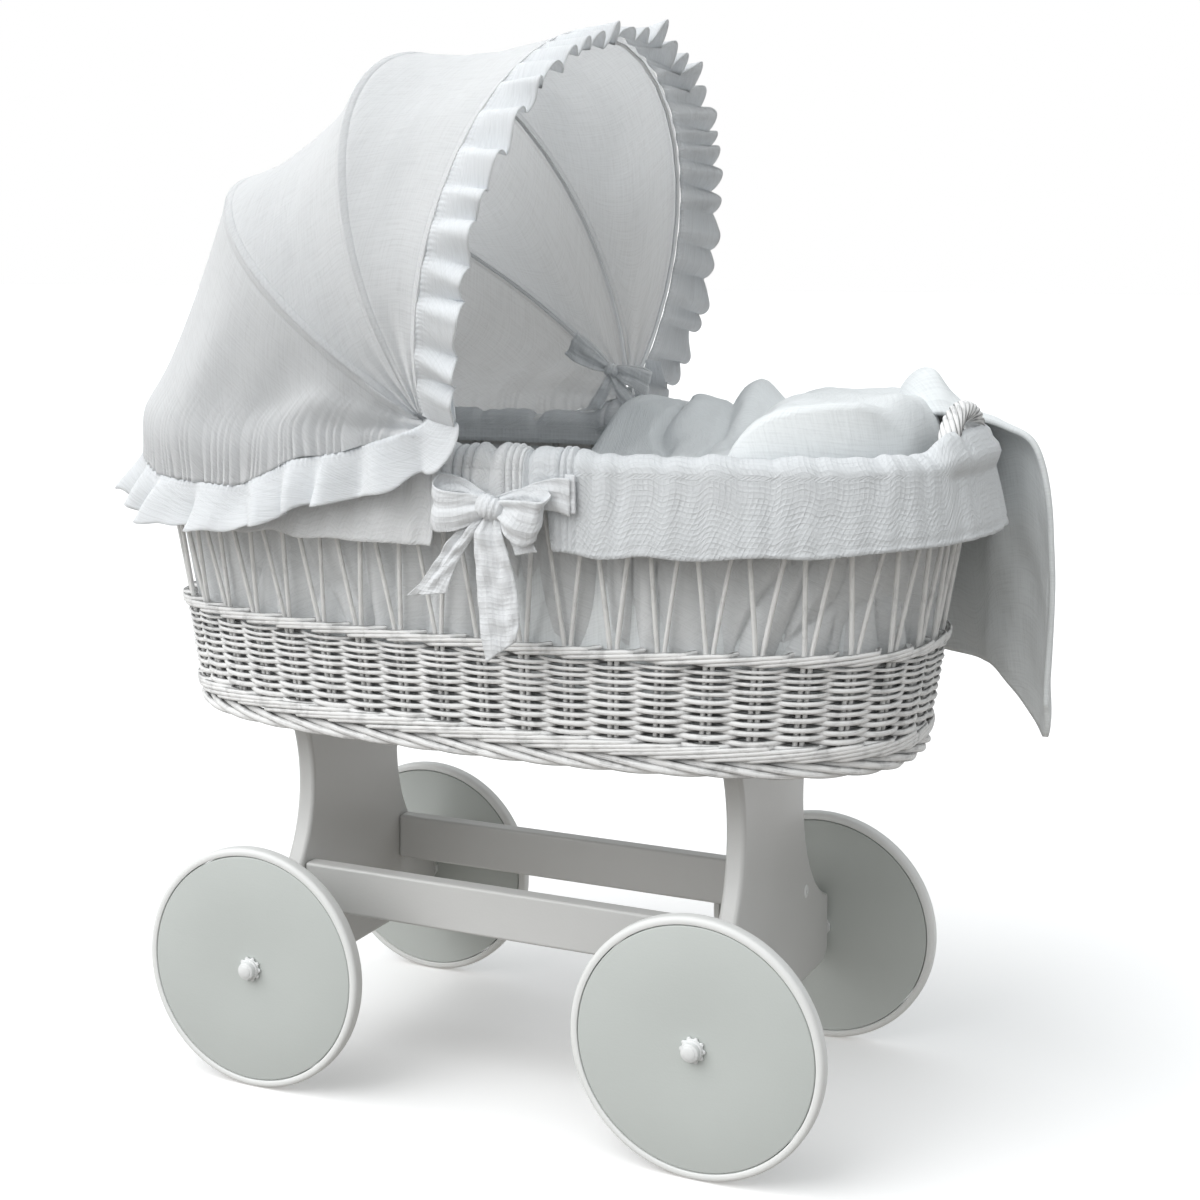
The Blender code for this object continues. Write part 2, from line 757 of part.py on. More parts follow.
def bow_outline(x, z, mirror=1.0, tails=1.0):
    """A tied bow seen from the front: two loops, a knot and two tails."""
    shape = [
        (-0.012, 0.010),
        (-0.056, 0.018),
        (-0.060, -0.018),
        (-0.022, -0.012),
        (-0.044, -0.055 * tails),
        (-0.076, -0.086 * tails),
        (-0.040, -0.090 * tails),
        (-0.012, -0.030),
        (-0.016, -0.075 * tails),
        (0.002, -0.130 * tails),
        (0.016, -0.134 * tails),
        (0.026, -0.100 * tails),
        (0.012, -0.028),
        (0.022, -0.014),
        (0.048, -0.022),
        (0.050, 0.012),
        (0.012, 0.012),
    ]
    return [(x + mirror * a, z + b) for a, b in shape]


def make_bow(name, x, z, side, y_low, y_high, surfaces, tails=1.0):
    low, high = sorted((side * y_low, side * y_high))
    mesh = extruded(bow_outline(x, z, tails=tails), low, high, "Y")
    add_object(name, mesh, surfaces["cloth"])


def make_bedding(surfaces):
    make_lining(surfaces)
    make_mattress(surfaces)
    make_duvet(surfaces)
    make_rim_covers(surfaces)
    make_blanket(surfaces)
    for side_name, side in (("near", -1), ("far", 1)):
        make_bow(f"rim_bow_{side_name}", 0.060, 0.629, side, 0.2535, 0.2655, surfaces)


# ---------------------------------------------------------------- hood
def make_pivot_bracket(side_name, side, surfaces):
    """A saddle over the rim with an upright ear, which the hoops and their pin turn on."""
    rim_y = basket_size(RIM_Z, RIM_RADIUS)[1]
    inner, outer = RIM_RADIUS + GAP * 2, RIM_RADIUS + 0.0032
    ear_low, ear_high = 0.2342, 0.2372

    def arc(radius, start, stop, count):
        angles = [radians(start + (stop - start) * i / count) for i in range(count + 1)]
        return [(rim_y + radius * cos(a), RIM_Z + radius * sin(a)) for a in angles]

    top = PIVOT_Z + 0.008
    low_turn, high_turn = [degrees(acos((ear - rim_y) / outer)) for ear in (ear_low, ear_high)]
    outline = arc(inner, 0, 180, 8) + arc(outer, 180, low_turn, 4)
    outline += [(ear_low, top), (ear_high, top)] + arc(outer, high_turn, 0, 4)
    outline = [(side * y, z) for y, z in outline]
    mesh = extruded(outline, PIVOT_X - 0.010, PIVOT_X + 0.010, "X")
    bracket = add_object(f"pivot_bracket_{side_name}", mesh, surfaces["rod"])
    drill_along_y(bracket, PIVOT_X, side * 0.23, side * 0.245, PIVOT_Z, EYE_BORE)


def make_pivot_pin(side_name, side, surfaces):
    profile = [
        (0.0045, 0.2326),
        (0.0045, 0.2338),
        (PIN_RADIUS, 0.2338),
        (PIN_RADIUS, 0.2512),
        (0.0048, 0.2512),
        (0.0040, 0.2526),
    ]
    hub = Vector((PIVOT_X, 0, PIVOT_Z))
    mesh = outward_lathe(profile, hub, side, 8)
    add_object(f"pivot_pin_{side_name}", mesh, surfaces["steel"])


def make_hoop(which, surfaces, pivot):
    """A bent rod with a flat eye at each foot, which turns on the pivot pins."""
    rod = tube(hoop_path(which), HOOP_RADIUS, 5)
    hoop = add_object(f"hoop_{which}", rod, surfaces["rod"], pivot)
    centre = Vector((PIVOT_X, 0, PIVOT_Z))
    middle = HOOP_FOOT_Y[which]
    for side in (-1, 1):
        eye = outward_lathe(
            [(0.0072, middle - 0.0018), (0.0072, middle + 0.0018)], centre, side, 8
        )
        join = helper("eye", eye)
        boolean(hoop, join, "UNION")
        join.parent = pivot
        join.data.transform(Matrix.Translation(-pivot.location))
        path = [(0, side * 0.225, 0), (0, side * 0.260, 0)]
        drill = helper("eye_bore", tube(path, EYE_BORE, 8))
        drill.parent = pivot
        boolean(hoop, drill, "DIFFERENCE")


def fabric_span(first, second, sag, start, count=18, rows=3):
    """Points of a fabric panel between two edge lines, each a function of the share round."""
    axis = Vector((PIVOT_X, 0, PIVOT_Z))
    grid = []
    for row in range(rows + 1):
        line = []
        for i in range(count + 1):
            share = start + (1 - 2 * start) * i / count
            a, b = first(share), second(share)
            margin = SEAM_GAP / (b - a).length
            part = margin + (1 - 2 * margin) * row / rows
            point = a.lerp(b, part)
            inwards = (axis - point).normalized()
            line.append(point + inwards * sag * 4 * part * (1 - part) * sin(pi * share) ** 0.5)
        grid.append(line)
    return grid


def make_hood_panels(surfaces, pivots):
    def over(which):
        return lambda share: hoop_point(which, share, FABRIC_STANDOFF)

    spans = (
        ("hood_panel_front", over("front"), over("middle"), pivots["middle"], PANEL_SAG, 0.03),
        ("hood_panel_middle", over("middle"), over("rear"), pivots["rear"], PANEL_SAG, 0.03),
    )
    for name, first, second, parent, sag, start in spans:
        mesh = surface(fabric_span(first, second, sag, start))
        panel = add_object(name, mesh, surfaces["cloth"], parent)
        thicken(panel, FABRIC)
    upper = fabric_span(over("rear"), shoulder_point, 0.0, 0.02, rows=2)
    lower = fabric_span(shoulder_point, seam_point, 0.0, 0.02, rows=1)
    panel = add_object("hood_panel_rear", surface(upper[:-1] + lower), surfaces["cloth"])
    thicken(panel, FABRIC)


def make_front_ruffle(surfaces, pivot):
    """The frill that stands forward from the front hoop."""
    count = 28
    forward = radians(HOOP_ANGLE["front"] - 90)
    ahead = Vector((cos(forward), 0, sin(forward)))
    grid = [[], []]
    for i in range(count + 1):
        share = 0.045 + 0.91 * i / count
        base = hoop_point("front", share, FABRIC_STANDOFF + 0.0012)
        outward = (hoop_point("front", share, 0.02) - base).normalized()
        grid[0].append(base + ahead * 0.005)
        grid[1].append(base + ahead * RUFFLE_WIDTH + outward * 0.007)
    ruffle = add_object("hood_ruffle_front", surface(grid), surfaces["cloth"], pivot)
    thicken(ruffle, 0.003)


def make_rear_ruffle(surfaces):
    """The frill below the rear panel's hem, outside the rim cover."""
    count = 28
    grid = [[], []]
    for i in range(count + 1):
        share = 0.04 + 0.92 * i / count
        base = seam_point(share)
        outward = Vector((base.x / HEM_HALF_LENGTH**2, base.y / HEM_HALF_WIDTH**2, 0)).normalized()
        grid[0].append(base + outward * 0.004 - Vector((0, 0, 0.003)))
        grid[1].append(base + outward * (END_REACH - HEM_HALF_LENGTH - 0.0017) - Vector((0, 0, 0.036)))
    ruffle = add_object("hood_ruffle_rear", surface(grid), surfaces["cloth"])
    thicken(ruffle, 0.003)


def make_hood(surfaces):
    centre = Vector((PIVOT_X, 0, PIVOT_Z))
    pivots = {which: empty(f"hood_axis_{which}", centre) for which in HOOP_ANGLE}
    for which, pivot in pivots.items():
        make_hoop(which, surfaces, pivot)
    for side_name, side in (("near", -1), ("far", 1)):
        make_pivot_bracket(side_name, side, surfaces)
        make_pivot_pin(side_name, side, surfaces)
        name = f"hood_tie_{side_name}"
        make_bow(name, -0.020, 0.738, side, 0.214, 0.224, surfaces, tails=0.45)
    make_hood_panels(surfaces, pivots)
    make_front_ruffle(surfaces, pivots["front"])
    make_rear_ruffle(surfaces)


def main():
    clear_scene()
    surfaces = {
        "stand": material("white painted wood", (0.80, 0.81, 0.80), 0.35),
        "wheel": material("grey-white lacquer", (0.72, 0.74, 0.73), 0.38),
        "band": material("grey-white edge band", (0.78, 0.79, 0.78), 0.40),
        "cap": material("white plastic", (0.86, 0.87, 0.87), 0.30),
        "steel": material("zinc-plated steel", (0.62, 0.63, 0.64), 0.35, 1.0),
        "rod": material("white painted steel", (0.85, 0.86, 0.86), 0.35),
        "wicker": material("white painted wicker", (0.83, 0.83, 0.82), 0.50),
        "cloth": material("white muslin", (0.84, 0.86, 0.87), 0.90),
    }
    make_stand(surfaces)
    make_wheels(surfaces)
    make_basket(surfaces)
    make_bedding(surfaces)
    make_hood(surfaces)


main()
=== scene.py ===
"""The visual model of a wicker bassinet on a wheeled stand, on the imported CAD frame.

Metres, +Z up. +X runs to the foot end, -Y is the near side, and the floor is at z = 0.
"""

from math import acos, cos, pi, radians, sin

import bmesh
import bpy
import numpy as np
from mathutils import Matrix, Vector


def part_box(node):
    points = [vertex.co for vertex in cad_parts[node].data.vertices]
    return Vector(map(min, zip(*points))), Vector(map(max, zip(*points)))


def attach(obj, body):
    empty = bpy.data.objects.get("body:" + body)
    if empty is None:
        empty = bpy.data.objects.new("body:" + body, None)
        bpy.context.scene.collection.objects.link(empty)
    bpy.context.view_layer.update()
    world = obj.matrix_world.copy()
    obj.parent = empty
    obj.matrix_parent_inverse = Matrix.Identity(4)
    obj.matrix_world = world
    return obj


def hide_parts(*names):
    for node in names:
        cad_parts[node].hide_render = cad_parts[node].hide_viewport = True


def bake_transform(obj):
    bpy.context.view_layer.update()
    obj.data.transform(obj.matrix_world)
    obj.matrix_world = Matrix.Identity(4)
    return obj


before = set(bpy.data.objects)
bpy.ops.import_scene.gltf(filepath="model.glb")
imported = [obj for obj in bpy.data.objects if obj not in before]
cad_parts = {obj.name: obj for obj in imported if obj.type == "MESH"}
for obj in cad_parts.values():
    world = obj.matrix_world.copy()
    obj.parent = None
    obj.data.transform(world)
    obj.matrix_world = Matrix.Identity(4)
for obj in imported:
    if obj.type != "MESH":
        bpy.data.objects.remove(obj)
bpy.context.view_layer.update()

SIDES = (("near", -1), ("far", 1))
ENDS = (("head", -1), ("foot", 1))

# Stand and wheels, as in the part
WHEEL_RADIUS = 0.125
WHEEL_WIDTH = 0.0166
WHEEL_FACE_Y = 0.2079
WHEEL_X = 0.242
SEAM_RADIUS = 0.1170  # between a wheel's disc and its band
PANEL_THICKNESS = 0.020
PANEL_HALF_WIDTH = 0.1865
PANEL_TOP = 0.367
PANEL_BOTTOM = 0.092
WAIST_HALF_WIDTH = 0.0945
WAIST_Z = 0.295

# Basket, as in the part
BASKET_BOTTOM = 0.373
BASKET_HALF_LENGTH = 0.395
BASKET_HALF_WIDTH = 0.195
BASKET_FLARE = 1 / 6
OVAL_POWER = 2.6
WALL_BOTTOM = 0.3945
WALL_TOP = 0.478
WALING_TOP = 0.4935
WALL_INSET = 0.0060  # from the basket's outer face to the middle of the weave
RIM_RADIUS = 0.011
RIM_Z = 0.662
STAKE_PAIRS = 46
MATTRESS_TOP = 0.445

# Hood, as in the part
PIVOT_X = -0.012
PIVOT_Z = 0.699
HOOP_FOOT_Y = {"rear": 0.2400, "middle": 0.2443, "front": 0.2486}
HOOP_ANGLE = {"rear": 141.9, "middle": 109.8, "front": 79.4}
HOOP_HALF_WIDTH = {"rear": 0.282, "middle": 0.293, "front": 0.310}
HOOP_BULGE = {"rear": 0.260, "middle": 0.252, "front": 0.243}
HOOP_FABRIC_GAP = 0.0052  # from a hoop's line to the middle of the cloth over it
HEM_HALF_LENGTH = 0.449  # of the oval that the hood's hem follows
HEM_HALF_WIDTH = 0.262

KEY_LIGHT = 1.78
FILL_LIGHT = 0.22
SIDE_LIGHT = 0.66


# ---------------------------------------------------------------- numbers
def smooth_step(low, high, value):
    t = np.clip((np.asarray(value, float) - low) / (high - low), 0.0, 1.0)
    return t * t * (3 - 2 * t)


def window(low, high, soft, value):
    """1 between low and high, falling to 0 over a distance soft outside them."""
    return smooth_step(low - soft, low, value) * (1 - smooth_step(high, high + soft, value))


def wander(seed, scale, u, v=0.0, terms=7):
    """Smooth noise, mostly between -1 and 1, whose features are about scale across."""
    rng = np.random.default_rng(seed)
    total = 0.0
    for _ in range(terms):
        heading = rng.uniform(0, 2 * pi)
        rate = 2 * pi / scale * rng.uniform(0.45, 1.15)
        phase = rng.uniform(0, 2 * pi)
        total = total + np.sin(rate * (cos(heading) * u + sin(heading) * v) + phase)
    return total / (terms / 2) ** 0.5 / 1.6


def unit(vectors):
    length = np.linalg.norm(vectors, axis=-1, keepdims=True)
    return vectors / np.maximum(length, 1e-12)


def lengths_along(path):
    """Distance along a path of points, from its start to each point."""
    steps = np.linalg.norm(np.diff(path, axis=0), axis=-1)
    return np.concatenate([np.zeros((1,) + steps.shape[1:]), np.cumsum(steps, axis=0)])


def tangents(path, closed=False):
    if closed:
        return unit(np.roll(path, -1, 0) - np.roll(path, 1, 0))
    return unit(np.gradient(path, axis=0))


def curve_through(points, count):
    """A smooth open curve through control points (Catmull-Rom), at count even shares."""
    points = np.asarray(points, float)
    ends = [2 * points[0] - points[1], *points, 2 * points[-1] - points[-2]]
    padded = np.array(ends)
    place = np.linspace(0, len(points) - 1, count)
    index = np.minimum(place.astype(int), len(points) - 2)
    shape = (count,) + (1,) * (points.ndim - 1)
    t = (place - index).reshape(shape)
    a, b, c, d = (padded[index + k] for k in range(4))
    return 0.5 * (
        2 * b + (c - a) * t + (2 * a - 5 * b + 4 * c - d) * t**2 + (3 * b - a - 3 * c + d) * t**3
    )


# ---------------------------------------------------------------- meshes
class Shape:
    """Collects grids, sheets and tubes, with UVs in metres, and makes one object of them."""

    def __init__(self):
        self.points, self.faces, self.uvs, self.bare, self.count = [], [], [], [], 0

    def vertices(self, points, bare=0.0):
        """Adds a grid of points and returns their numbers, with a mask of where the colour is
        darkened: painted shade in crevices, partly standing for thin paint there.
        """
        ids = self.count + np.arange(points[..., 0].size).reshape(points.shape[:-1])
        self.points.append(points.reshape(-1, 3))
        self.bare.append(np.broadcast_to(bare, points.shape[:-1]).ravel())
        self.count += ids.size
        return ids

    def quads(self, ids, uv, close_rows=False, close_columns=False, flip=False, keep=None):
        """Faces between neighbouring vertices of a grid; uv holds one row or column more
        than the grid where that direction is closed, and keep picks the faces to make."""
        rows, columns = ids.shape
        i, j = np.meshgrid(
            np.arange(rows if close_rows else rows - 1),
            np.arange(columns if close_columns else columns - 1),
            indexing="ij",
        )
        if keep is not None:
            i, j = i[keep], j[keep]
        corners = [(i, j), (i, j + 1), (i + 1, j + 1), (i + 1, j)]
        if flip:
            corners.reverse()
        faces = [ids[a % rows, b % columns] for a, b in corners]
        u, v = uv
        uvs = [np.stack([u[a, b], v[a, b]], -1) for a, b in corners]
        self.faces.append(np.stack(faces, -1).reshape(-1, 4))
        self.uvs.append(np.stack(uvs, -2).reshape(-1, 4, 2))

    def hole_edges(self, outer, inner, keep):
        """Closes the cut edges of a sheet with a hole in it."""
        for step in ((0, 1), (1, 0)):
            before = keep[: keep.shape[0] - step[0], : keep.shape[1] - step[1]]
            after = keep[step[0] :, step[1] :]
            i, j = np.nonzero(before != after)
            start = (i + step[0], j + step[1])
            stop = (start[0] + step[1], start[1] + step[0])
            faces = np.stack([outer[start], outer[stop], inner[stop], inner[start]], -1)
            turned = before[i, j] == bool(step[0])
            faces[turned] = faces[turned][:, ::-1]
            self.faces.append(faces)
            self.uvs.append(np.zeros((len(faces), 4, 2)))

    def grid(self, points, close_rows=False, close_columns=False, flip=False, bare=0.0):
        uv = grid_lengths(points, close_rows, close_columns)
        self.quads(self.vertices(points, bare), uv, close_rows, close_columns, flip)

    def sheet(self, points, thickness, close_rows=False, hole=None):
        """Cloth about a grid of points, with its edges closed. Its thickness may vary, and
        hole is a test of points that picks where it is cut away."""
        half = grid_normals(points, close_rows) * np.asarray(thickness)[..., None] / 2
        outer, inner = self.vertices(points + half), self.vertices(points - half)
        uv = grid_lengths(points, close_rows, False)
        keep = None
        if hole:
            middles = (points[1:, 1:] + points[:-1, :-1]) / 2
            keep = ~hole(middles[..., 0], middles[..., 1], middles[..., 2])
            self.hole_edges(outer, inner, keep)
        self.quads(outer, uv, close_rows, keep=keep)
        self.quads(inner, uv, close_rows, flip=True, keep=keep)
        for column, flip in ((0, True), (-1, False)):
            edge = [np.stack([lane[:, column]] * 2, 1) for lane in uv]
            pair = np.stack([outer[:, column], inner[:, column]], 1)
            self.quads(pair, edge, close_rows, flip=flip)
        if not close_rows:
            for row, flip in ((0, False), (-1, True)):
                edge = [np.stack([lane[row]] * 2, 1) for lane in uv]
                self.quads(np.stack([outer[row], inner[row]], 1), edge, flip=flip)

    def tube(self, path, radius, sides=8, closed=False, reference=(0, 0, 1), bare=0.0):
        """A round rod along a path, with rounded ends; reference is never along the path."""
        path = np.asarray(path, float)
        bare = np.broadcast_to(bare, (len(path),))
        if not closed:
            path, radius = with_round_ends(path, radius)
            bare = np.pad(bare, (len(path) - len(bare)) // 2, mode="edge")
        along = tangents(path, closed)
        across = unit(np.cross(along, np.asarray(reference, float)))
        other = np.cross(across, along)
        angles = 2 * pi * np.arange(sides) / sides
        ring = across[:, None] * np.cos(angles)[:, None] + other[:, None] * np.sin(angles)[:, None]
        reach = np.broadcast_to(np.asarray(radius, float), (len(path),))
        # Painted shade: the top and bottom of each rod, where it touches the rods above and below,
        # are marked to be darkened in the colour, partly standing for thin paint there.
        contact_shade = smooth_step(0.75, 1.0, np.abs(np.sin(angles)))
        bare = np.maximum(contact_shade, 1.3 * bare[:, None])
        points = path[:, None] + ring * reach[:, None, None]
        self.grid(points, closed, True, flip=True, bare=bare)

    def build(self, name, surface, body, replaces=(), slot=None, sharp=None):
        mesh = bpy.data.meshes.new(name)
        faces = np.concatenate(self.faces)
        mesh.from_pydata(np.concatenate(self.points).tolist(), [], faces.tolist())
        layer = mesh.uv_layers.new(name="metres")
        layer.data.foreach_set("uv", np.concatenate(self.uvs).astype(np.float32).ravel())
        # The mask of painted shade goes on the mesh as an attribute, which the willow material reads
        # to darken its colour.
        bare = np.concatenate(self.bare).astype(np.float32)
        if bare.any():
            mesh.attributes.new("bare", "FLOAT", "POINT").data.foreach_set("value", bare)
        mesh.shade_smooth()
        if sharp:
            mesh.set_sharp_from_angle(angle=radians(sharp))
        return add_piece(name, mesh, surface, body, replaces, slot)


def grid_lengths(points, close_rows, close_columns):
    """UVs in metres for a grid: distance along its columns and along its rows."""
    if close_rows:
        points = np.concatenate([points, points[:1]])
    if close_columns:
        points = np.concatenate([points, points[:, :1]], 1)
    u = lengths_along(points)
    v = lengths_along(points.transpose(1, 0, 2)).T
    return u, v


def grid_normals(points, close_rows=False):
    return unit(np.cross(tangents(points, close_rows), np.gradient(points, axis=1)))


def with_round_ends(path, radius):
    """Adds three points at each end that close a tube with a small dome."""
    reach = np.broadcast_to(np.asarray(radius, float), (len(path),)).copy()
    start, stop = unit(path[0] - path[1]), unit(path[-1] - path[-2])
    domes = ((0.55, 0.80), (0.85, 0.50), (0.97, 0.02))
    head = [path[0] + start * reach[0] * out for out, _ in domes][::-1]
    tail = [path[-1] + stop * reach[-1] * out for out, _ in domes]
    sizes = [size for _, size in domes]
    head_radii = [reach[0] * size for size in sizes][::-1]
    tail_radii = [reach[-1] * size for size in sizes]
    return np.concatenate([head, path, tail]), np.concatenate([head_radii, reach, tail_radii])


def add_object(name, data):
    made = bpy.data.objects.new(name, data)
    bpy.context.scene.collection.objects.link(made)
    return made


def add_piece(name, mesh, surface, body, replaces=(), slot=None):
    piece = add_object(name, mesh)
    mesh.materials.append(surface)
    if body:
        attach(piece, body)
    if replaces:
        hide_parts(*replaces)
    return piece


def turned(profile, hub, side, segments, swell=1.0):
    """Points turned about a wheel's axis from (radius, y) points; swell may vary round it."""
    angles = 2 * pi * np.arange(segments) / segments
    radius, y = np.array(profile, float).T
    radius = radius * np.broadcast_to(swell, (segments,))[:, None]
    x = hub[0] + np.cos(angles)[:, None] * radius
    z = hub[2] + np.sin(angles)[:, None] * radius
    return np.stack([x, np.broadcast_to(side * y, radius.shape), z], -1)


def board_mesh(outline, low, high):
    """A closed mesh from an outline of (y, z) points, pushed along X."""
    bm = bmesh.new()
    rings = [[bm.verts.new((x, y, z)) for y, z in outline] for x in (low, high)]
    count = len(outline)
    for j in range(count):
        k = (j + 1) % count
        bm.faces.new((rings[0][j], rings[0][k], rings[1][k], rings[1][j]))
    for ring in rings:
        bm.faces.new(ring)
    bmesh.ops.recalc_face_normals(bm, faces=bm.faces)
    mesh = bpy.data.meshes.new("board")
    bm.to_mesh(mesh)
    bm.free()
    mesh.shade_smooth()
    mesh.set_sharp_from_angle(angle=radians(35))
    return mesh


def make_board(name, outline, low, high, edge, surfaces):
    """A lacquered board whose edges are rounded to the radius edge."""
    mesh = board_mesh(outline, low, high)
    board = add_piece(name + ".fine", mesh, surfaces["stand"], "stand", [name], "panel_paint")
    modifier = board.modifiers.new("rounded edges", "BEVEL")
    modifier.width = edge
    modifier.segments = 4
    modifier.limit_method = "ANGLE"
    modifier.angle_limit = radians(50)
    modifier.harden_normals = False


# ---------------------------------------------------------------- materials
MUSLIN_SQUARE = 0.0050  # between the double gauze's lines of stitches


class Surface:
    """A Principled material with helpers to wire its pattern."""

    def __init__(self, name, colour, roughness, metallic=0.0, sheen=0.0):
        self.made = bpy.data.materials.new(name)
        self.made.use_nodes = True
        self.tree = self.made.node_tree
        self.shader = self.tree.nodes["Principled BSDF"]
        self.shader.inputs["Base Color"].default_value = (*colour, 1.0)
        self.shader.inputs["Roughness"].default_value = roughness
        self.shader.inputs["Metallic"].default_value = metallic
        self.shader.inputs["Sheen Weight"].default_value = sheen
        self.shader.inputs["Sheen Roughness"].default_value = 0.6
        self.colour, self.roughness = colour, roughness

    def feed(self, socket, value):
        """Links a socket to another node's output, or sets it to a constant."""
        if isinstance(value, bpy.types.NodeSocket):
            self.tree.links.new(value, socket)
        else:
            socket.default_value = value

    def node(self, kind, **inputs):
        made = self.tree.nodes.new(kind)
        for key, value in inputs.items():
            self.feed(made.inputs[key.replace("_", " ")], value)
        return made

    def noise(self, scale, source="Object", stretch=(1, 1, 1), detail=3.0, distortion=0.0):
        """Noise with scale features to a metre, pulled long where stretch is under 1. Its
        source is the piece's own space, or UVs in metres."""
        place = self.node("ShaderNodeTexCoord").outputs[source]
        place = self.node("ShaderNodeMapping", Vector=place, Scale=[scale * s for s in stretch])
        settings = {"Scale": 1.0, "Detail": detail, "Roughness": 0.55, "Distortion": distortion}
        return self.node("ShaderNodeTexNoise", Vector=place.outputs[0], **settings).outputs[0]

    def maths(self, operation, first, second=0.0):
        made = self.tree.nodes.new("ShaderNodeMath")
        made.operation = operation
        for socket, value in zip(made.inputs, (first, second)):
            self.feed(socket, value)
        return made.outputs[0]

    def total(self, *parts):
        """The sum of values, each times its weight."""
        scaled = [v if weight == 1 else self.maths("MULTIPLY", v, weight) for v, weight in parts]
        added = scaled[0]
        for value in scaled[1:]:
            added = self.maths("ADD", added, value)
        return added

    def ramp(self, value, low, high):
        """Takes values from 0.3 to 0.7 to the range from low to high."""
        ends = {"From_Min": 0.3, "From_Max": 0.7, "To_Min": low, "To_Max": high}
        return self.node("ShaderNodeMapRange", Value=value, **ends).outputs[0]

    def tint(self, value, dark, from_low=0.3, from_high=0.7):
        """Mixes the base colour with a darker one where value is low."""
        ramp = self.tree.nodes.new("ShaderNodeValToRGB")
        ramp.color_ramp.elements[0].position = from_low
        ramp.color_ramp.elements[1].position = from_high
        ramp.color_ramp.elements[0].color = (*dark, 1.0)
        ramp.color_ramp.elements[1].color = (*self.colour, 1.0)
        self.tree.links.new(value, ramp.inputs[0])
        self.tree.links.new(ramp.outputs[0], self.shader.inputs["Base Color"])

    def vary_roughness(self, value, spread):
        made = self.ramp(value, self.roughness - spread, self.roughness + spread)
        self.tree.links.new(made, self.shader.inputs["Roughness"])

    def bump(self, height, distance):
        made = self.node("ShaderNodeBump", Height=height, Distance=distance, Strength=1.0)
        self.tree.links.new(made.outputs[0], self.shader.inputs["Normal"])


def shade(colour, factor):
    return tuple(c * factor for c in colour)


def lacquer(name, colour, roughness):
    """Sprayed satin lacquer over board: a faint orange peel and slightly uneven gloss."""
    made = Surface(name, colour, roughness)
    broad = made.noise(9.0)
    made.tint(broad, shade(colour, 0.965))
    peel = made.noise(420.0, detail=2.0)
    grain = made.noise(160.0, stretch=(0.12, 1, 1))
    made.vary_roughness(broad, 0.05)
    made.bump(made.total((peel, 1), (grain, 0.6)), 0.00012)
    return made.made


def moulded(name, colour, roughness):
    """Moulded plastic with a fine even texture."""
    made = Surface(name, colour, roughness)
    broad = made.noise(60.0)
    made.tint(broad, shade(colour, 0.95))
    made.vary_roughness(broad, 0.06)
    made.bump(made.noise(900.0), 0.00008)
    return made.made


def plated(name, colour, roughness):
    """Zinc plating: metal with fine turning marks."""
    made = Surface(name, colour, roughness, metallic=1.0)
    marks = made.noise(1500.0, stretch=(0.1, 1, 1))
    made.tint(marks, shade(colour, 0.8))
    made.vary_roughness(marks, 0.1)
    made.bump(marks, 0.00005)
    return made.made


def cane(name, colour, crevice_shade=0.0, dark=0.45):
    """Sprayed willow rods: grain along each rod, and painted shade where rods touch and where they
    pass behind others, from a mask on the mesh, partly standing for thinner paint there.
    """
    made = Surface(name, colour, 0.52)
    grain = made.noise(700.0, "UV", (0.06, 1, 1), detail=4.0)
    patches = made.noise(55.0, detail=4.0, distortion=0.4)
    # The mask darkens the colour by the crevice weight: painted shade in the crevices.
    bare = made.node("ShaderNodeAttribute")
    bare.attribute_name = "bare"
    mixed = made.total((grain, 0.45), (patches, 0.55), (bare.outputs["Fac"], -crevice_shade))
    made.tint(mixed, shade(colour, dark), 0.18, 0.50)
    made.vary_roughness(patches, 0.12)
    knots = made.noise(90.0, "UV", (0.5, 1, 1), detail=2.0)
    made.bump(made.total((grain, 1), (knots, 1.5)), 0.0005)
    return made.made


def muslin(name, colour, puff, thread, crease, glow=0.0):
    """Double gauze. puff, thread and crease weigh its quilted squares, its slubby threads and
    its soft creases in the bump. glow is how much light passes through it."""
    made = Surface(name, colour, 0.92, sheen=0.12)
    made.shader.inputs["Subsurface Weight"].default_value = glow
    made.shader.inputs["Subsurface Radius"].default_value = (1.0, 1.0, 1.0)
    made.shader.inputs["Subsurface Scale"].default_value = 0.003 + 0.008 * glow
    warp = made.noise(520.0, "UV", (0.05, 1, 1))
    weft = made.noise(520.0, "UV", (1, 0.05, 1))
    threads = made.total((warp, 1), (weft, 1))
    place = made.node("ShaderNodeTexCoord").outputs["UV"]
    split = made.node("ShaderNodeSeparateXYZ", Vector=place)
    bend = made.noise(22.0, "UV", detail=2.0)
    bend_too = made.noise(24.0, "UV", (1.3, 0.7, 1), detail=2.0)
    ridges = []
    for socket, shift in ((split.outputs[0], bend), (split.outputs[1], bend_too)):
        turns = made.total((socket, pi / MUSLIN_SQUARE), (shift, 0.35))
        ridges.append(made.maths("ABSOLUTE", made.maths("SINE", turns)))
    squares = made.maths("POWER", made.maths("MULTIPLY", *ridges), 0.45)
    uneven = made.ramp(made.noise(70.0, "UV", detail=2.0), 0.25, 1.0)
    squares = made.maths("MULTIPLY", squares, uneven)
    creases = made.noise(45.0, "UV", (1, 0.35, 1), distortion=1.2)
    # The colour is a little darker along slubby threads, which is their own tone, and darker along
    # the stitched lines between the puffed squares, which is painted shade in those hollows.
    slubs_and_stitch_line_shade = made.total((threads, 0.5), (squares, 0.10))
    made.tint(slubs_and_stitch_line_shade, shade(colour, 0.91), 0.40, 0.58)
    made.bump(made.total((threads, thread), (squares, puff), (creases, crease)), 0.0013)
    return made.made


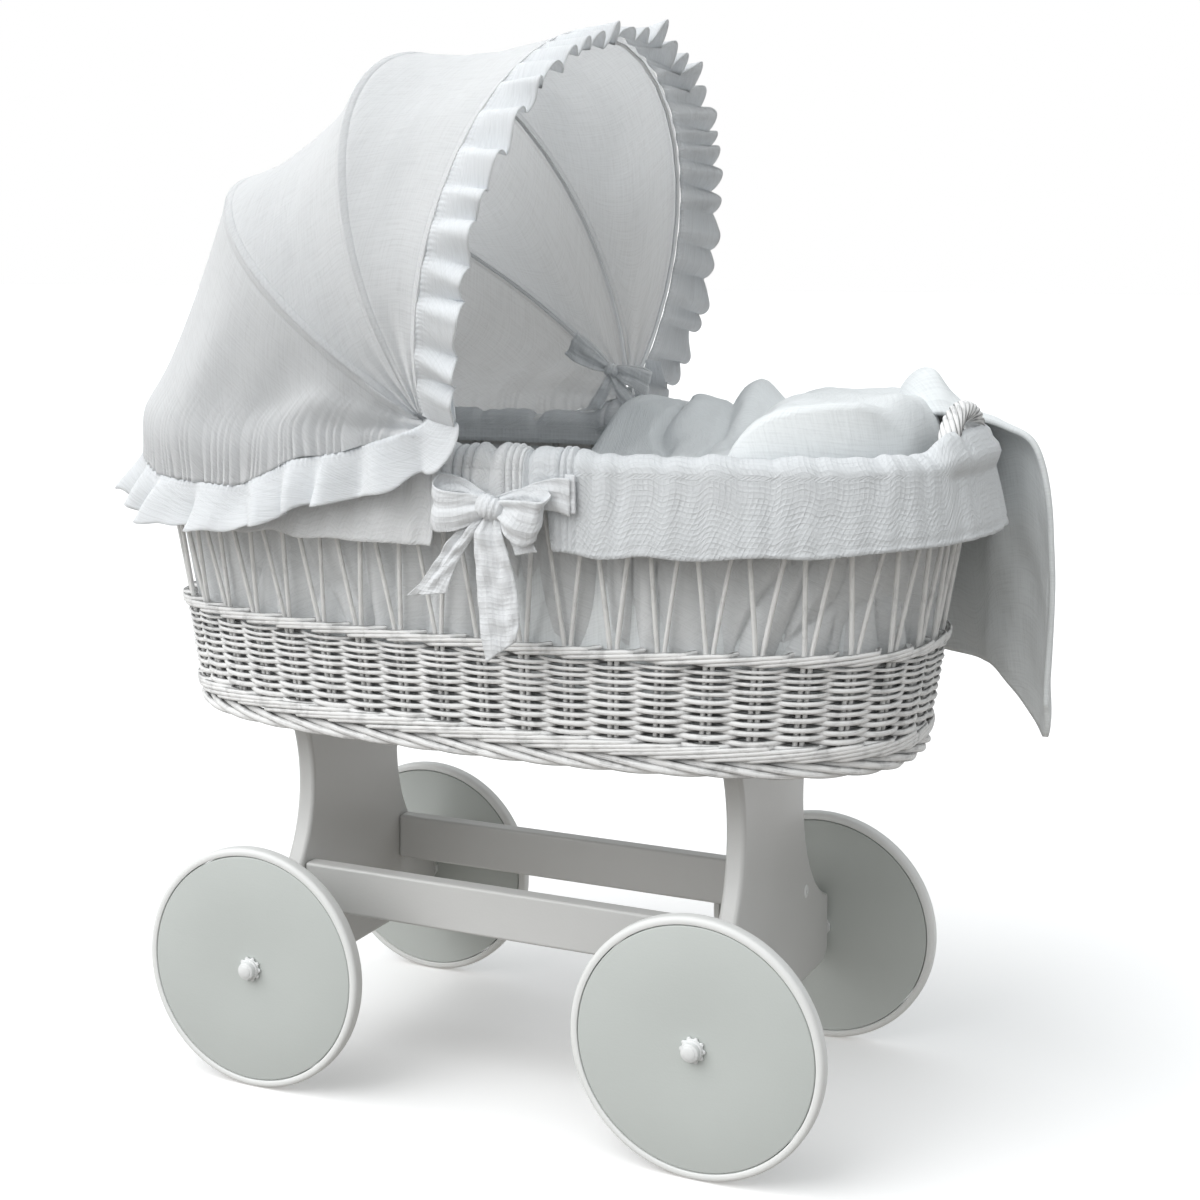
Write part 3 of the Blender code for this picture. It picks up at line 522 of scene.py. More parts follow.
def make_surfaces():
    white = (0.785, 0.822, 0.858)
    return {
        "stand": lacquer("stand lacquer", (0.60, 0.60, 0.59), 0.34),
        "wheel": lacquer("wheel lacquer", (0.53, 0.56, 0.54), 0.36),
        "band": lacquer("wheel edge band", (0.80, 0.81, 0.80), 0.40),
        "cap": moulded("white plastic", (0.76, 0.77, 0.77), 0.32),
        "steel": plated("zinc plate", (0.60, 0.61, 0.62), 0.36),
        "rod": lacquer("painted rod", (0.74, 0.75, 0.755), 0.35),
        # The hoops are the same white paint as the pivot brackets, made much lighter to lift the
        # shade they sit in inside the hood: painted light, standing in part for the pale cloth
        # casings over them.
        "hoop": lacquer("white hoop rod lightened against shade", (0.90, 0.91, 0.92), 0.45),
        "wicker": cane("painted willow", (0.83, 0.83, 0.82)),
        # The woven rods take the crevice mask, which darkens them towards 0.12 of their colour:
        # painted shade where rods touch and pass behind others.
        "weave": cane("woven willow", (0.87, 0.87, 0.865), 0.30, 0.12),
        "board": lacquer("floor board", (0.66, 0.66, 0.65), 0.55),
        "hood": muslin("hood muslin", white, 0.10, 0.18, 0.50, 0.95),
        "ruffle": muslin("ruffle muslin", white, 0.18, 0.22, 0.80, 0.6),
        "cover": muslin("cover muslin", (0.70, 0.725, 0.745), 0.46, 0.25, 0.32, 0.2),
        # The head cover is the same cloth as the foot cover, made lighter and letting more light
        # through, to lift the shade it sits in under the hood and the rear frill: painted light.
        "head_cover_lightened": muslin("head cover muslin lightened against shade", (0.83, 0.85, 0.865), 0.46, 0.25, 0.32, 0.5),
        "ribbon": muslin("ribbon muslin", (0.77, 0.79, 0.81), 0.40, 0.28, 0.50, 0.2),
        "lining": muslin("lining muslin", (0.80, 0.82, 0.83), 0.12, 0.16, 0.70, 0.3),
        "bed": muslin("bedding muslin", (0.76, 0.79, 0.795), 0.10, 0.14, 0.55),
        "quilt": muslin("quilt muslin", (0.83, 0.86, 0.87), 0.14, 0.16, 0.70),
    }


# ---------------------------------------------------------------- stand
def panel_half_width(z):
    """Half the width of an end panel: one ellipse above the waist and one below."""
    if z >= WAIST_Z:
        return WAIST_HALF_WIDTH + 0.16 - (0.16**2 - (z - WAIST_Z) ** 2) ** 0.5
    drop = (WAIST_Z - z) / 0.1375
    return WAIST_HALF_WIDTH + 0.13 * (1 - (1 - drop * drop) ** 0.5)


def panel_outline():
    shoulder_z = 0.1640
    share = np.linspace(0, 1, 44)[:-1] ** 0.8
    side = [(panel_half_width(z), z) for z in PANEL_TOP + (shoulder_z - PANEL_TOP) * share]
    side += [(PANEL_HALF_WIDTH, shoulder_z), (PANEL_HALF_WIDTH, 0.104), (0.176, PANEL_BOTTOM)]
    return side + [(-y, z) for y, z in reversed(side)]


def make_stand(surfaces):
    half = PANEL_THICKNESS / 2
    for end, sign in ENDS:
        x = sign * WHEEL_X
        make_board(f"end_panel_{end}", panel_outline(), x - half, x + half, 0.0042, surfaces)
        dress(f"floor_cleat_{end}", surfaces["stand"])
    for side_name, _ in SIDES:
        name = f"rail_{side_name}"
        low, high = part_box(name)
        outline = [(low[1], low[2]), (high[1], low[2]), (high[1], high[2]), (low[1], high[2])]
        make_board(name, outline, low[0], high[0], 0.0030, surfaces)
    for end, sign in ENDS:
        for side_name, _ in SIDES:
            make_bolt_cap(f"rail_bolt_{end}_{side_name}", sign, surfaces)


def make_bolt_cap(node, sign, surfaces):
    """A bolt under a low round cap with a shallow driver socket."""
    low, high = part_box(node)
    y, z = (low[1] + high[1]) / 2, (low[2] + high[2]) / 2
    tip = high[0] if sign > 0 else -low[0]
    root = low[0] if sign > 0 else -high[0]
    profile = [
        (0.0001, root), (0.0030, root), (0.0030, tip - 0.0033), (0.0072, tip - 0.0033),
        (0.0072, tip - 0.0010), (0.0068, tip - 0.0003), (0.0060, tip), (0.0026, tip),
        (0.0024, tip - 0.0002), (0.0023, tip - 0.0020), (0.0001, tip - 0.0020),
    ]
    angles = [2 * pi * k / 40 for k in range(40)]
    rows = [[(sign * x, y + r * cos(a), z + r * sin(a)) for r, x in profile] for a in angles]
    shape = Shape()
    shape.grid(np.array(rows), close_rows=True, flip=sign < 0)
    shape.build(node + ".fine", surfaces["cap"], "stand", [node], "white_cap", sharp=35)


def dress(node, surface):
    """Gives a carried-over CAD node its finish."""
    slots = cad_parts[node].material_slots
    if slots:
        for slot in slots:
            slot.material = surface
    else:
        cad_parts[node].data.materials.append(surface)


def make_wheels(surfaces):
    for end, x_sign in ENDS:
        for side_name, side in SIDES:
            make_wheel(f"{end}_{side_name}", (x_sign * WHEEL_X, 0, WHEEL_RADIUS), side, surfaces)


def make_wheel(corner, hub, side, surfaces):
    """A disc with a rounded edge band round it; the seam between them is a fine dark groove."""
    inner, outer = WHEEL_FACE_Y - WHEEL_WIDTH, WHEEL_FACE_Y
    body = f"wheel_{corner}"
    rim, edge = SEAM_RADIUS, 0.0042
    disc = [
        (0.0041, inner + 0.0003), (rim - 0.0008, inner + 0.0003), (rim - 0.0004, inner + 0.0010),
        (rim - 0.0004, outer - 0.0016), (rim - 0.0009, outer - 0.0008),
        (rim - 0.0018, outer - 0.0005), (0.060, outer - 0.0005), (0.0060, outer - 0.0005),
        (0.0041, outer - 0.0008), (0.0041, inner + 0.0003),
    ]
    turn = [radians(18 * k) for k in range(6)]
    middle = WHEEL_RADIUS - edge
    band = [(rim + 0.0003, inner + 0.0014), (rim + 0.0012, inner)]
    band += [(middle + edge * sin(a), inner + edge * (1 - cos(a))) for a in turn]
    band += [(middle + edge * cos(a), outer - edge * (1 - sin(a))) for a in turn]
    band += [
        (rim + 0.0014, outer), (rim + 0.0006, outer - 0.0004), (rim + 0.0003, outer - 0.0014),
        (rim + 0.0003, inner + 0.0014),
    ]
    for name, profile, look, slot in (
        (f"wheel_disc_{corner}", disc, "wheel", "wheel_paint"),
        (f"wheel_band_{corner}", band, "band", "wheel_edge"),
    ):
        shape = Shape()
        shape.grid(turned(profile, hub, side, 144), close_rows=True, flip=side > 0)
        shape.build(name + ".fine", surfaces[look], body, [name], slot, sharp=40)
    make_hub_cap(f"hub_cap_{corner}", hub, side, surfaces["cap"])
    dress(f"axle_pin_{corner}", surfaces["steel"])
    dress(f"spacer_washer_{corner}", surfaces["cap"])


def make_hub_cap(node, hub, side, surface):
    """A domed cap on a collar, over a retaining ring with small teeth."""
    dome = [
        (0.0043, 0.0009), (0.0100, 0.0009), (0.0104, 0.0014), (0.0104, 0.0036), (0.0101, 0.0041),
        (0.0091, 0.0044), (0.0089, 0.0052), (0.0089, 0.0088), (0.0086, 0.0098), (0.0074, 0.0107),
        (0.0064, 0.0109), (0.0062, 0.0114), (0.0048, 0.0121), (0.0024, 0.0124), (0.0001, 0.0125),
    ]
    ring = [(0.42, 0.0003), (1.0, 0.0003), (1.0, 0.0016), (0.93, 0.0020), (0.42, 0.0020)]
    teeth = 10
    angles = 2 * pi * np.arange(teeth * 8) / (teeth * 8)
    tooth = 0.0118 + 0.0010 * np.clip(2.2 * np.cos(teeth * angles), -1, 1)
    shape = Shape()
    for profile, segments, swell in ((dome, 64, 1.0), (ring, teeth * 8, tooth)):
        outline = [(r, WHEEL_FACE_Y + y) for r, y in profile]
        shape.grid(turned(outline, hub, side, segments, swell), close_rows=True, flip=side > 0)
    shape.build(node + ".fine", surface, "stand", [node], "white_cap", sharp=35)


# ---------------------------------------------------------------- basket
def oval(half_length, half_width, angle):
    """(x, y) of the basket's oval at an array of angles."""
    power = 2 / OVAL_POWER
    c, s = np.cos(angle), np.sin(angle)
    x = half_length * np.sign(c) * np.abs(c) ** power
    return x, half_width * np.sign(s) * np.abs(s) ** power


def basket_size(z, inset=0.0):
    grown = BASKET_FLARE * (z - BASKET_BOTTOM) - inset
    return BASKET_HALF_LENGTH + grown, BASKET_HALF_WIDTH + grown


def even_table():
    """Angle of the oval against the share of its length, for even spacing."""
    angles = np.linspace(0, 2 * pi, 6001)
    x, y = oval(*basket_size(WALL_TOP), angles)
    length = lengths_along(np.stack([x, y], -1))
    return length / length[-1], angles


EVEN_SHARES, EVEN_ANGLES = even_table()


def even_angle(share):
    return np.interp(np.mod(share, 1.0), EVEN_SHARES, EVEN_ANGLES)


def wall_points(share, z, inset):
    """Points on the basket's wall, for shares of the way round, a height and an inset."""
    share, z, inset = np.broadcast_arrays(np.asarray(share, float), z, inset)
    x, y = oval(*basket_size(z, inset), even_angle(share))
    return np.stack([x, y, z], -1)


def weave(shape):
    """Rows of rods that pass outside and inside alternate pairs of stakes, finer upwards."""
    rows = 20
    bottom, top = WALL_BOTTOM + 0.0065, WALL_TOP + 0.0020
    share = np.arange(STAKE_PAIRS * 12) / (STAKE_PAIRS * 12)
    turn = share * 2 * pi
    for row in range(rows):
        t = (row + 0.5) / rows
        pitch = (top - bottom) / rows * (1.24 - 0.48 * t)
        z = bottom + (top - bottom) * (1.24 * t - 0.24 * t * t)
        z = z + 0.00030 * np.sin(5 * turn + row * 2.1) + 0.00024 * np.sin(11 * turn + row)
        bend = np.cos(pi * STAKE_PAIRS * share + pi * (row % 2))
        swing = np.tanh(1.1 * bend) / np.tanh(1.1)
        swing = swing * (1 + 0.10 * np.sin(7 * turn + row * 1.3))
        path = wall_points(share, z - 0.0008 * swing, WALL_INSET - 0.0040 * swing)
        thickness = 0.635 * pitch * (1 + 0.06 * np.sin(3 * turn + row * 1.7))
        # The mask marks where a rod passes behind the stakes, to be darkened: painted shade, partly
        # standing for thin paint there.
        shape.tube(path, thickness, 8, closed=True, bare=smooth_step(-0.3, -0.9, swing))


def waling(shape, low, high, radius, span, seed):
    """Heavier rods, each in front of some stakes and rising as it goes, then tucked inside."""
    rng = np.random.default_rng(seed)
    t = np.linspace(0, 1, 36)
    for k in range(STAKE_PAIRS):
        drift = rng.uniform(-0.08, 0.08)
        share = (k + drift + (span + 0.7) * t - 0.35) / STAKE_PAIRS
        shown = smooth_step(0.0, 0.10, t) * (1 - smooth_step(0.90, 1.0, t))
        z = low + radius + (high - low - 2 * radius) * smooth_step(-0.35, 1.2, t)
        z = z + 0.0005 * rng.uniform(-1, 1)
        inset = WALL_INSET + 0.0046 - 0.0104 * shown - 0.0010 * np.sin(pi * t)
        thickness = radius * rng.uniform(0.94, 1.06)
        shape.tube(wall_points(share, z, inset), thickness, 9)


def rope(shape, centre, rods, lay, offset, radius, sides=7):
    """Rods twisted round a closed centre line; lay is the number of whole turns."""
    count = len(centre)
    outwards = unit(np.cross(tangents(centre, True), np.array([0.0, 0.0, 1.0])))
    share = np.arange(count) / count
    for rod in range(rods):
        angle = 2 * pi * (lay * share + rod / rods)
        wobble = 1 + 0.05 * np.sin(2 * pi * (3 + rod) * share + rod)
        reach = offset * wobble
        path = centre + outwards * (reach * np.cos(angle))[:, None]
        path[:, 2] += reach * np.sin(angle)
        shape.tube(path, radius * (1 + 0.04 * np.sin(2 * pi * 5 * share + rod)), sides, closed=True)
    shape.tube(centre, offset * 0.75, 6, closed=True)


def stake_share(pair, lean, z):
    """A stake's share of the way round: upright in the weave, then leaning away above it."""
    close, wide = 0.074, 0.445
    spread = (np.asarray(z) - WALING_TOP) / (RIM_Z - 0.016 - WALING_TOP)
    return (pair + lean * (close + (wide - close) * np.maximum(spread, 0.0))) / STAKE_PAIRS


def make_stakes(surfaces):
    rng = np.random.default_rng(11)
    shape = Shape()
    z = np.concatenate([np.linspace(0.397, 0.490, 5), np.linspace(0.498, RIM_Z - 0.016, 9)])
    for pair in range(STAKE_PAIRS):
        for lean in (-1, 1):
            share = stake_share(pair, lean, z)
            lift = smooth_step(WALING_TOP, 0.62, z)
            share = share + rng.uniform(-0.0011, 0.0011) * lift
            inset = 0.0062 + rng.uniform(-0.0006, 0.0006) * lift
            radius = rng.uniform(0.0022, 0.0026)
            shape.tube(wall_points(share, z, inset), radius, 8, reference=(1, 0.3, 0))
    ring = wall_points(np.arange(400) / 400, RIM_Z - 0.016, 0.0062)
    rope(shape, ring, 3, 34, 0.0022, 0.0021, 6)
    shape.build("stakes", surfaces["wicker"], "stand", ["stake_cage"], "wicker")


def twist(shape, path, rods, turns, offset, radius):
    """Rods wound side by side round a path in the YZ plane."""
    share = np.linspace(0, 1, len(path))
    side = np.cross(tangents(path), np.array([1.0, 0.0, 0.0]))
    for rod in range(rods):
        angle = 2 * pi * (turns * share + rod / rods)
        wound = path + side * (offset * np.cos(angle))[:, None]
        wound[:, 0] += offset * np.sin(angle)
        shape.tube(wound, radius, 8, reference=(1, 0, 0))


def make_handle(surfaces):
    """The wound loop at the foot end."""
    x = basket_size(RIM_Z, RIM_RADIUS)[0]
    foot_z = RIM_Z + RIM_RADIUS - 0.004
    angle = np.linspace(0, pi, 70)
    rise = foot_z + 0.008 + 0.034 * np.sin(angle) ** 0.8
    arch = np.stack([0 * angle + x, -0.054 * np.cos(angle), rise], -1)
    lower = [(x, -0.054, foot_z), (x, -0.054, foot_z + 0.005)]
    upper = [(x, 0.054, foot_z + 0.005), (x, 0.054, foot_z)]
    path = curve_through([*lower, *arch[::6], *upper], 130)
    shape = Shape()
    twist(shape, path, 9, 1.7, 0.0078, 0.0029)
    shape.tube(path, 0.0056, 10, reference=(1, 0, 0))
    shape.build("handle_braid", surfaces["weave"], "stand", ["foot_handle"], "wicker")


def make_basket(surfaces):
    dress("basket_floor", surfaces["board"])
    shape = Shape()
    weave(shape)
    waling(shape, WALL_BOTTOM - 0.0090, WALL_BOTTOM + 0.0125, 0.0027, 3.3, 5)
    shape.build("weave", surfaces["weave"], "stand", ["woven_wall"], "wicker")
    shape = Shape()
    waling(shape, WALL_TOP + 0.0010, WALING_TOP + 0.0022, 0.0025, 2.3, 6)
    shape.build("waling", surfaces["weave"], "stand", ["upper_waling"], "wicker")
    make_stakes(surfaces)
    shape = Shape()
    border = wall_points(np.arange(900) / 900, BASKET_BOTTOM + 0.0078, 0.0062)
    rope(shape, border, 4, -11, 0.0052, 0.0039, 12)
    shape.build("border_rods", surfaces["weave"], "stand", ["foot_border"], "wicker")
    shape = Shape()
    rim = wall_points(np.arange(900) / 900, RIM_Z, RIM_RADIUS)
    rope(shape, rim, 7, 22, 0.0074, 0.0033, 7)
    shape.build("rim_rods", surfaces["wicker"], "stand", ["rim_border"], "wicker")
    make_handle(surfaces)


# ---------------------------------------------------------------- cloth helpers
def ring_wander(seed, scale, share, length, v=0.0, slant=1.0, terms=8):
    """Like wander(), for a closed ring: share is the part of the way round its length."""
    rng = np.random.default_rng(seed)
    total = 0.0
    for _ in range(terms):
        waves = max(1, round(length / scale * rng.uniform(0.45, 1.15)))
        rate = 2 * pi / scale * rng.uniform(-slant, slant)
        total = total + np.sin(2 * pi * waves * share + rate * v + rng.uniform(0, 2 * pi))
    return total / (terms / 2) ** 0.5 / 1.6


def gathers(phase, sharpness=0.6):
    """Rounded ridges with pinched valleys, from 0 to 1, one for each half turn of phase."""
    return np.abs(np.sin(phase)) ** sharpness


def crease(distance, width):
    """A pressed line: 1 at no distance, falling to 0 over the width."""
    return np.exp(-((distance / width) ** 2))


def declare_cloth(grids):
    """Works out the area, width and length of the flat cloth that grids of points were made from, and
    keeps none of them.
    """
    area, width, length = 0.0, 0.0, 0.0
    for points in grids:
        u, v = grid_lengths(points, False, False)
        width = max(width, float(v[:, -1].mean()))
        length += float(u[-1].mean())
        sides = np.cross(points[1:, :-1] - points[:-1, :-1], points[:-1, 1:] - points[:-1, :-1])
        area += float(np.linalg.norm(sides, axis=-1).sum())
    area = min(max(area, 0.31 * width * length), width * length)


def make_cloth(name, points, look, body, node, held, rests_on, thickness=0.0009, **cutting):
    """One piece of cloth from a grid of points. With no body, it is left without a parent."""
    shape = Shape()
    shape.sheet(points, thickness, **cutting)
    piece = shape.build(name, look, body, [node] if node else [], "muslin")
    declare_cloth([points])
    return piece


def puffed(piece, pressure, cap, frames=14):
    """Swells a closed mesh as stuffing would, with Cloth, and keeps the shape it takes.

    A point moves at most cap.
    """
    before = np.array([tuple(v.co) for v in piece.data.vertices])
    cloth = piece.modifiers.new("stuffing", "CLOTH")
    settings = cloth.settings
    settings.use_pressure = True
    settings.uniform_pressure_force = pressure
    settings.effector_weights.gravity = 0.0
    settings.quality = 4
    settings.mass = 0.25
    settings.tension_stiffness = 18
    settings.bending_stiffness = 0.6
    cloth.point_cache.frame_end = frames
    scene = bpy.context.scene
    for frame_number in range(1, frames + 1):
        scene.frame_set(frame_number)
    graph = bpy.context.evaluated_depsgraph_get()
    swollen = piece.evaluated_get(graph)
    after = np.array([tuple(v.co) for v in swollen.to_mesh().vertices])
    swollen.to_mesh_clear()
    piece.modifiers.remove(cloth)
    scene.frame_set(1)
    move = after - before
    far = np.linalg.norm(move, axis=1, keepdims=True)
    move *= np.minimum(1.0, cap / np.maximum(far, 1e-9))
    piece.data.vertices.foreach_set("co", (before + move).ravel())
    piece.data.update()


# ---------------------------------------------------------------- bedding
PERIMETER = 2.12  # of the basket's wall, about half way up


def make_lining(surfaces):
    """The cloth tub inside the wicker, hanging in soft slanting folds."""
    share = np.arange(720) / 720
    z = np.linspace(0.3960, 0.6360, 44)
    around, up = np.meshgrid(share, z, indexing="ij")
    sway = ring_wander(21, 0.16, around, PERIMETER, up * 0.15, 0.6)
    lean = ring_wander(24, 0.22, around, PERIMETER) * (up - 0.53) / 0.10
    stray = ring_wander(22, 0.20, around, PERIMETER)
    upright = gathers(pi * 42 * around + 2.2 * sway + 1.3 * lean, 0.6)
    slanted = gathers(pi * 17 * around + 2.6 * lean + 1.5 * stray, 0.6)
    folds = 1 - np.minimum(upright, slanted)
    folds = folds + 0.08 * ring_wander(23, 0.060, around, PERIMETER, up * 0.3)
    depth = 0.0006 + 0.0125 * smooth_step(0.44, 0.50, up)
    inset = 0.0128 + depth * np.maximum(folds, 0.0)
    inset = inset + (0.0140 - inset) * smooth_step(0.612, 0.630, up)
    inset = inset + 0.0015 * smooth_step(0.625, 0.636, up)
    wall = wall_points(around, up, inset)
    floor = np.stack([wall[:, 0] * [s, s, 1] for s in (0.001, 0.02, 0.4, 0.8, 0.97)], 1)
    points = np.concatenate([floor, wall], 1)
    make_cloth(
        "lining_cloth", points, surfaces["lining"], "stand", "lining", "gathered",
        ["basket_floor"], 0.0008, close_rows=True,
    )


def make_mattress(surfaces):
    """A foam mattress in a muslin case: crowned a little, with piping round its upper edge."""
    low, high = 0.3972, MATTRESS_TOP
    angles = 2 * pi * np.arange(240) / 240
    half_length, half_width = basket_size(0.395, 0.0165)
    profile = [(0.03, low, 0), (0.6, low, 0), (0.93, low, 0.0), (0.985, low + 0.003, 0)]
    profile += [(1.0, low + 0.010, 0), (1.0, high - 0.016, 0), (0.993, high - 0.008, 0)]
    profile += [(0.978, high - 0.0035, 0), (0.955, high - 0.0015, 0.2)]
    profile += [(s, high - 0.0012, 1.0) for s in (*np.linspace(0.92, 0.03, 26), 0.001)]
    columns = []
    for scale, z, soft in profile:
        x, y = oval(half_length * scale, half_width * scale, angles)
        rumple = 0.0012 * wander(31, 0.09, x, y) + 0.0008 * wander(32, 0.03, x * 0.5, y)
        columns.append(np.stack([x, y, z + soft * (rumple + 0.0015 * (1 - scale**2))], -1))
    shape = Shape()
    points = np.stack(columns, 1)
    shape.grid(points, close_rows=True)
    x, y = oval(half_length * 0.992, half_width * 0.992, angles)
    shape.tube(np.stack([x, y, 0 * x + high - 0.006], -1), 0.0016, 7, closed=True)
    piece = shape.build("mattress_case", surfaces["bed"], "stand", ["mattress"], "muslin")


QUILT_EDGE_X = 0.024  # where the quilt's heap begins


def quilt_top(x, y):
    """Height of the heaped quilt: low at the near side and the head, high at the far side."""
    t = np.clip(y / 0.20, -1.1, 1.1)
    folded = 0.648 + 0.056 * smooth_step(-0.1, 0.85, t) + 0.012 * smooth_step(0.13, 0.20, x)
    folded = folded + 0.010 * window(0.19, 0.245, 0.035, x) * smooth_step(0.0, 0.8, t)
    for at, lean, depth, width in ((0.085, 0.30, 0.012, 0.0065), (0.148, 0.20, 0.011, 0.0065)):
        line = at + lean * np.clip(0.20 - y, 0, 0.6) ** 1.3
        gap = x - line - 0.006 * wander(41, 0.10, y, x)
        folded = folded - depth * crease(gap, width) + depth * 0.6 * crease(gap - 0.020, 0.018)
    # The big lump at the foot, in front of the folds
    begins = 0.228 - 0.17 * (y + 0.05) + 0.008 * wander(44, 0.2, y)
    inward = (x - begins) / 0.075
    swell = np.sqrt(np.clip(1 - (1 - np.clip(inward, 0, 1)) ** 2, 0, 1))
    lump = 0.648 + 0.076 * swell - 0.045 * np.clip((x - 0.362) / 0.048, 0, 1.1) ** 2
    lump = lump - 0.012 * np.clip((-0.12 - y) / 0.08, 0, 1.3) ** 2
    lump = lump - 0.006 * smooth_step(0.05, 0.19, y)
    height = np.where(inward > 0, np.maximum(lump, folded - 0.9 * (x - begins)), folded)
    height = height + 0.0028 * wander(42, 0.11, x, y) + 0.0009 * wander(43, 0.035, x, y)
    return height


def make_quilt(surfaces):
    """The quilt heaped in the foot half: a closed pillow form, puffed and creased."""
    low = MATTRESS_TOP + 0.0012
    ends = acos((QUILT_EDGE_X / BASKET_HALF_LENGTH) ** (OVAL_POWER / 2))
    count = 200
    angles = -ends + 2 * ends * np.arange(count) / (count - 1)
    half = np.minimum(basket_size(0.60, 0.020), (0.407, 0.207))
    x, y = oval(half[0], half[1], angles)
    x = np.maximum(x, QUILT_EDGE_X)
    front = np.linspace(y[-1], y[0], 60)[1:-1]
    x = np.concatenate([x, 0 * front + QUILT_EDGE_X])
    y = np.concatenate([y, front])
    outline, centre = np.stack([x, y], -1), np.array([0.21, 0.0])

    def ring(scale, height):
        px, py = (centre + (outline - centre) * scale).T
        return np.stack([px, py, 0 * px + height(px, py)], -1)

    top = quilt_top(x, y)
    columns = [ring(scale, lambda px, py: low) for scale in (0.04, 0.35, 0.70, 0.93, 0.975)]
    for part in np.linspace(0.08, 0.86, 9):
        bulge = 1 - 0.022 * (1 - part) ** 2
        foot_pull = 1 - 0.055 * (1 - part) * smooth_step(0.1, 0.3, x)
        side = low + (top - low - 0.012) * part
        columns.append(ring((bulge * foot_pull)[:, None], lambda px, py, z=side: z))
    for scale, drop in ((0.995, 0.0075), (0.975, 0.0035), (0.95, 0.0012)):
        columns.append(ring(scale, lambda px, py, drop=drop: quilt_top(px, py) - drop))
    columns += [ring(scale, quilt_top) for scale in (*np.linspace(0.915, 0.02, 46), 0.001)]
    shape = Shape()
    shape.grid(np.stack(columns, 1), close_rows=True)
    piece = shape.build("quilt", surfaces["quilt"], "stand", ["duvet"], "muslin")
    puffed(piece, 2.0, 0.0030)


def blanket_points(share, down):
    """Points of the blanket: share runs from the foot end to the far side, down outwards."""
    angle = radians(13) + radians(50) * share
    lobe = smooth_step(-0.04, 0.20, share) * (1 - smooth_step(0.25, 0.40, share))
    end = 1 - smooth_step(0.0, 0.30, share)
    stations = []
    for length, width, z, rise in (
        (0.374, 0.178, 0.672, 0.018),
        (0.381, 0.183, 0.690, 0.036),
        (0.401, 0.194, 0.699, 0.044),
        (0.419, 0.210, 0.699, 0.024),
        (0.438, 0.240, 0.700, 0.001),
        (0.464, 0.265, 0.690, 0.002),
    ):
        x, y = oval(length, width, angle)
        stations.append(np.stack([x, y, z + rise * lobe], -1))
    x, y = oval(0.4735, 0.2745, angle)
    hem = 0.380 + 0.062 * smooth_step(0.06, 0.30, share)
    hem = hem + 0.034 * (1 - smooth_step(0.0, 0.09, share)) ** 2
    for part in (0.0, 0.2, 0.45, 0.75, 1.0):
        z = 0.672 + (hem - 0.672) * part
        out = 0.482 + 0.026 * sin(pi * min(part, 0.5)) - 0.003 * part
        stations.append(np.stack([x + (out - x) * end, y, z], -1))
    return curve_through(np.stack(stations, 0), down)


def make_blanket(surfaces):
    """A quilted blanket over the far foot corner, with a stitched edge and soft hanging folds."""
    rows, columns = 110, 120
    share = np.linspace(0, 1, rows)
    points = blanket_points(share, columns).transpose(1, 0, 2)
    normals = grid_normals(points)
    u, v = grid_lengths(points, False, False)
    hang = smooth_step(0.30, 0.75, v / v[:, -1:])
    folds = wander(51, 0.12, u, v * 0.18)
    dents = wander(52, 0.05, u, v)
    edge = np.minimum(np.minimum(u, u[-1:] - u), np.minimum(v, v[:, -1:] - v))
    puff = 0.0012 * smooth_step(0.0, 0.010, edge) - 0.0016 * crease(edge - 0.010, 0.0016)
    away = 0.0050 * folds * hang - 0.0020 * hang + 0.0014 * dents
    sign = np.sign((normals[..., 0] + normals[..., 1] + normals[..., 2] * 0.5).mean())
    points = points + normals * sign * away[..., None]
    points[..., 0] = np.minimum(points[..., 0], 0.5120)
    make_cloth(
        "blanket_quilted", points, surfaces["quilt"], "stand", "blanket", "draped",
        ["quilt", "cover_foot"], 0.0048 + 2 * puff,
    )


# ---------------------------------------------------------------- rim covers
GATHER_LOW, GATHER_HIGH = -0.003, 0.108  # x of the tied stretch between the two skirts
COVER_SEAM_X = 0.085
COVER_OVER = 0.0150  # radius of the cover round the rim


def rim_frame(angle):
    """Rim centre points and outward directions at an array of the oval's angles."""
    half_length, half_width = basket_size(RIM_Z, RIM_RADIUS)
    x, y = oval(half_length, half_width, angle)
    ahead_x, ahead_y = oval(half_length, half_width, angle + 0.004)
    back_x, back_y = oval(half_length, half_width, angle - 0.004)
    along = unit(np.stack([ahead_x - back_x, ahead_y - back_y], -1))
    out = np.stack([along[:, 1], -along[:, 0], 0 * x], -1)
    return np.stack([x, y, 0 * x + RIM_Z], -1), out


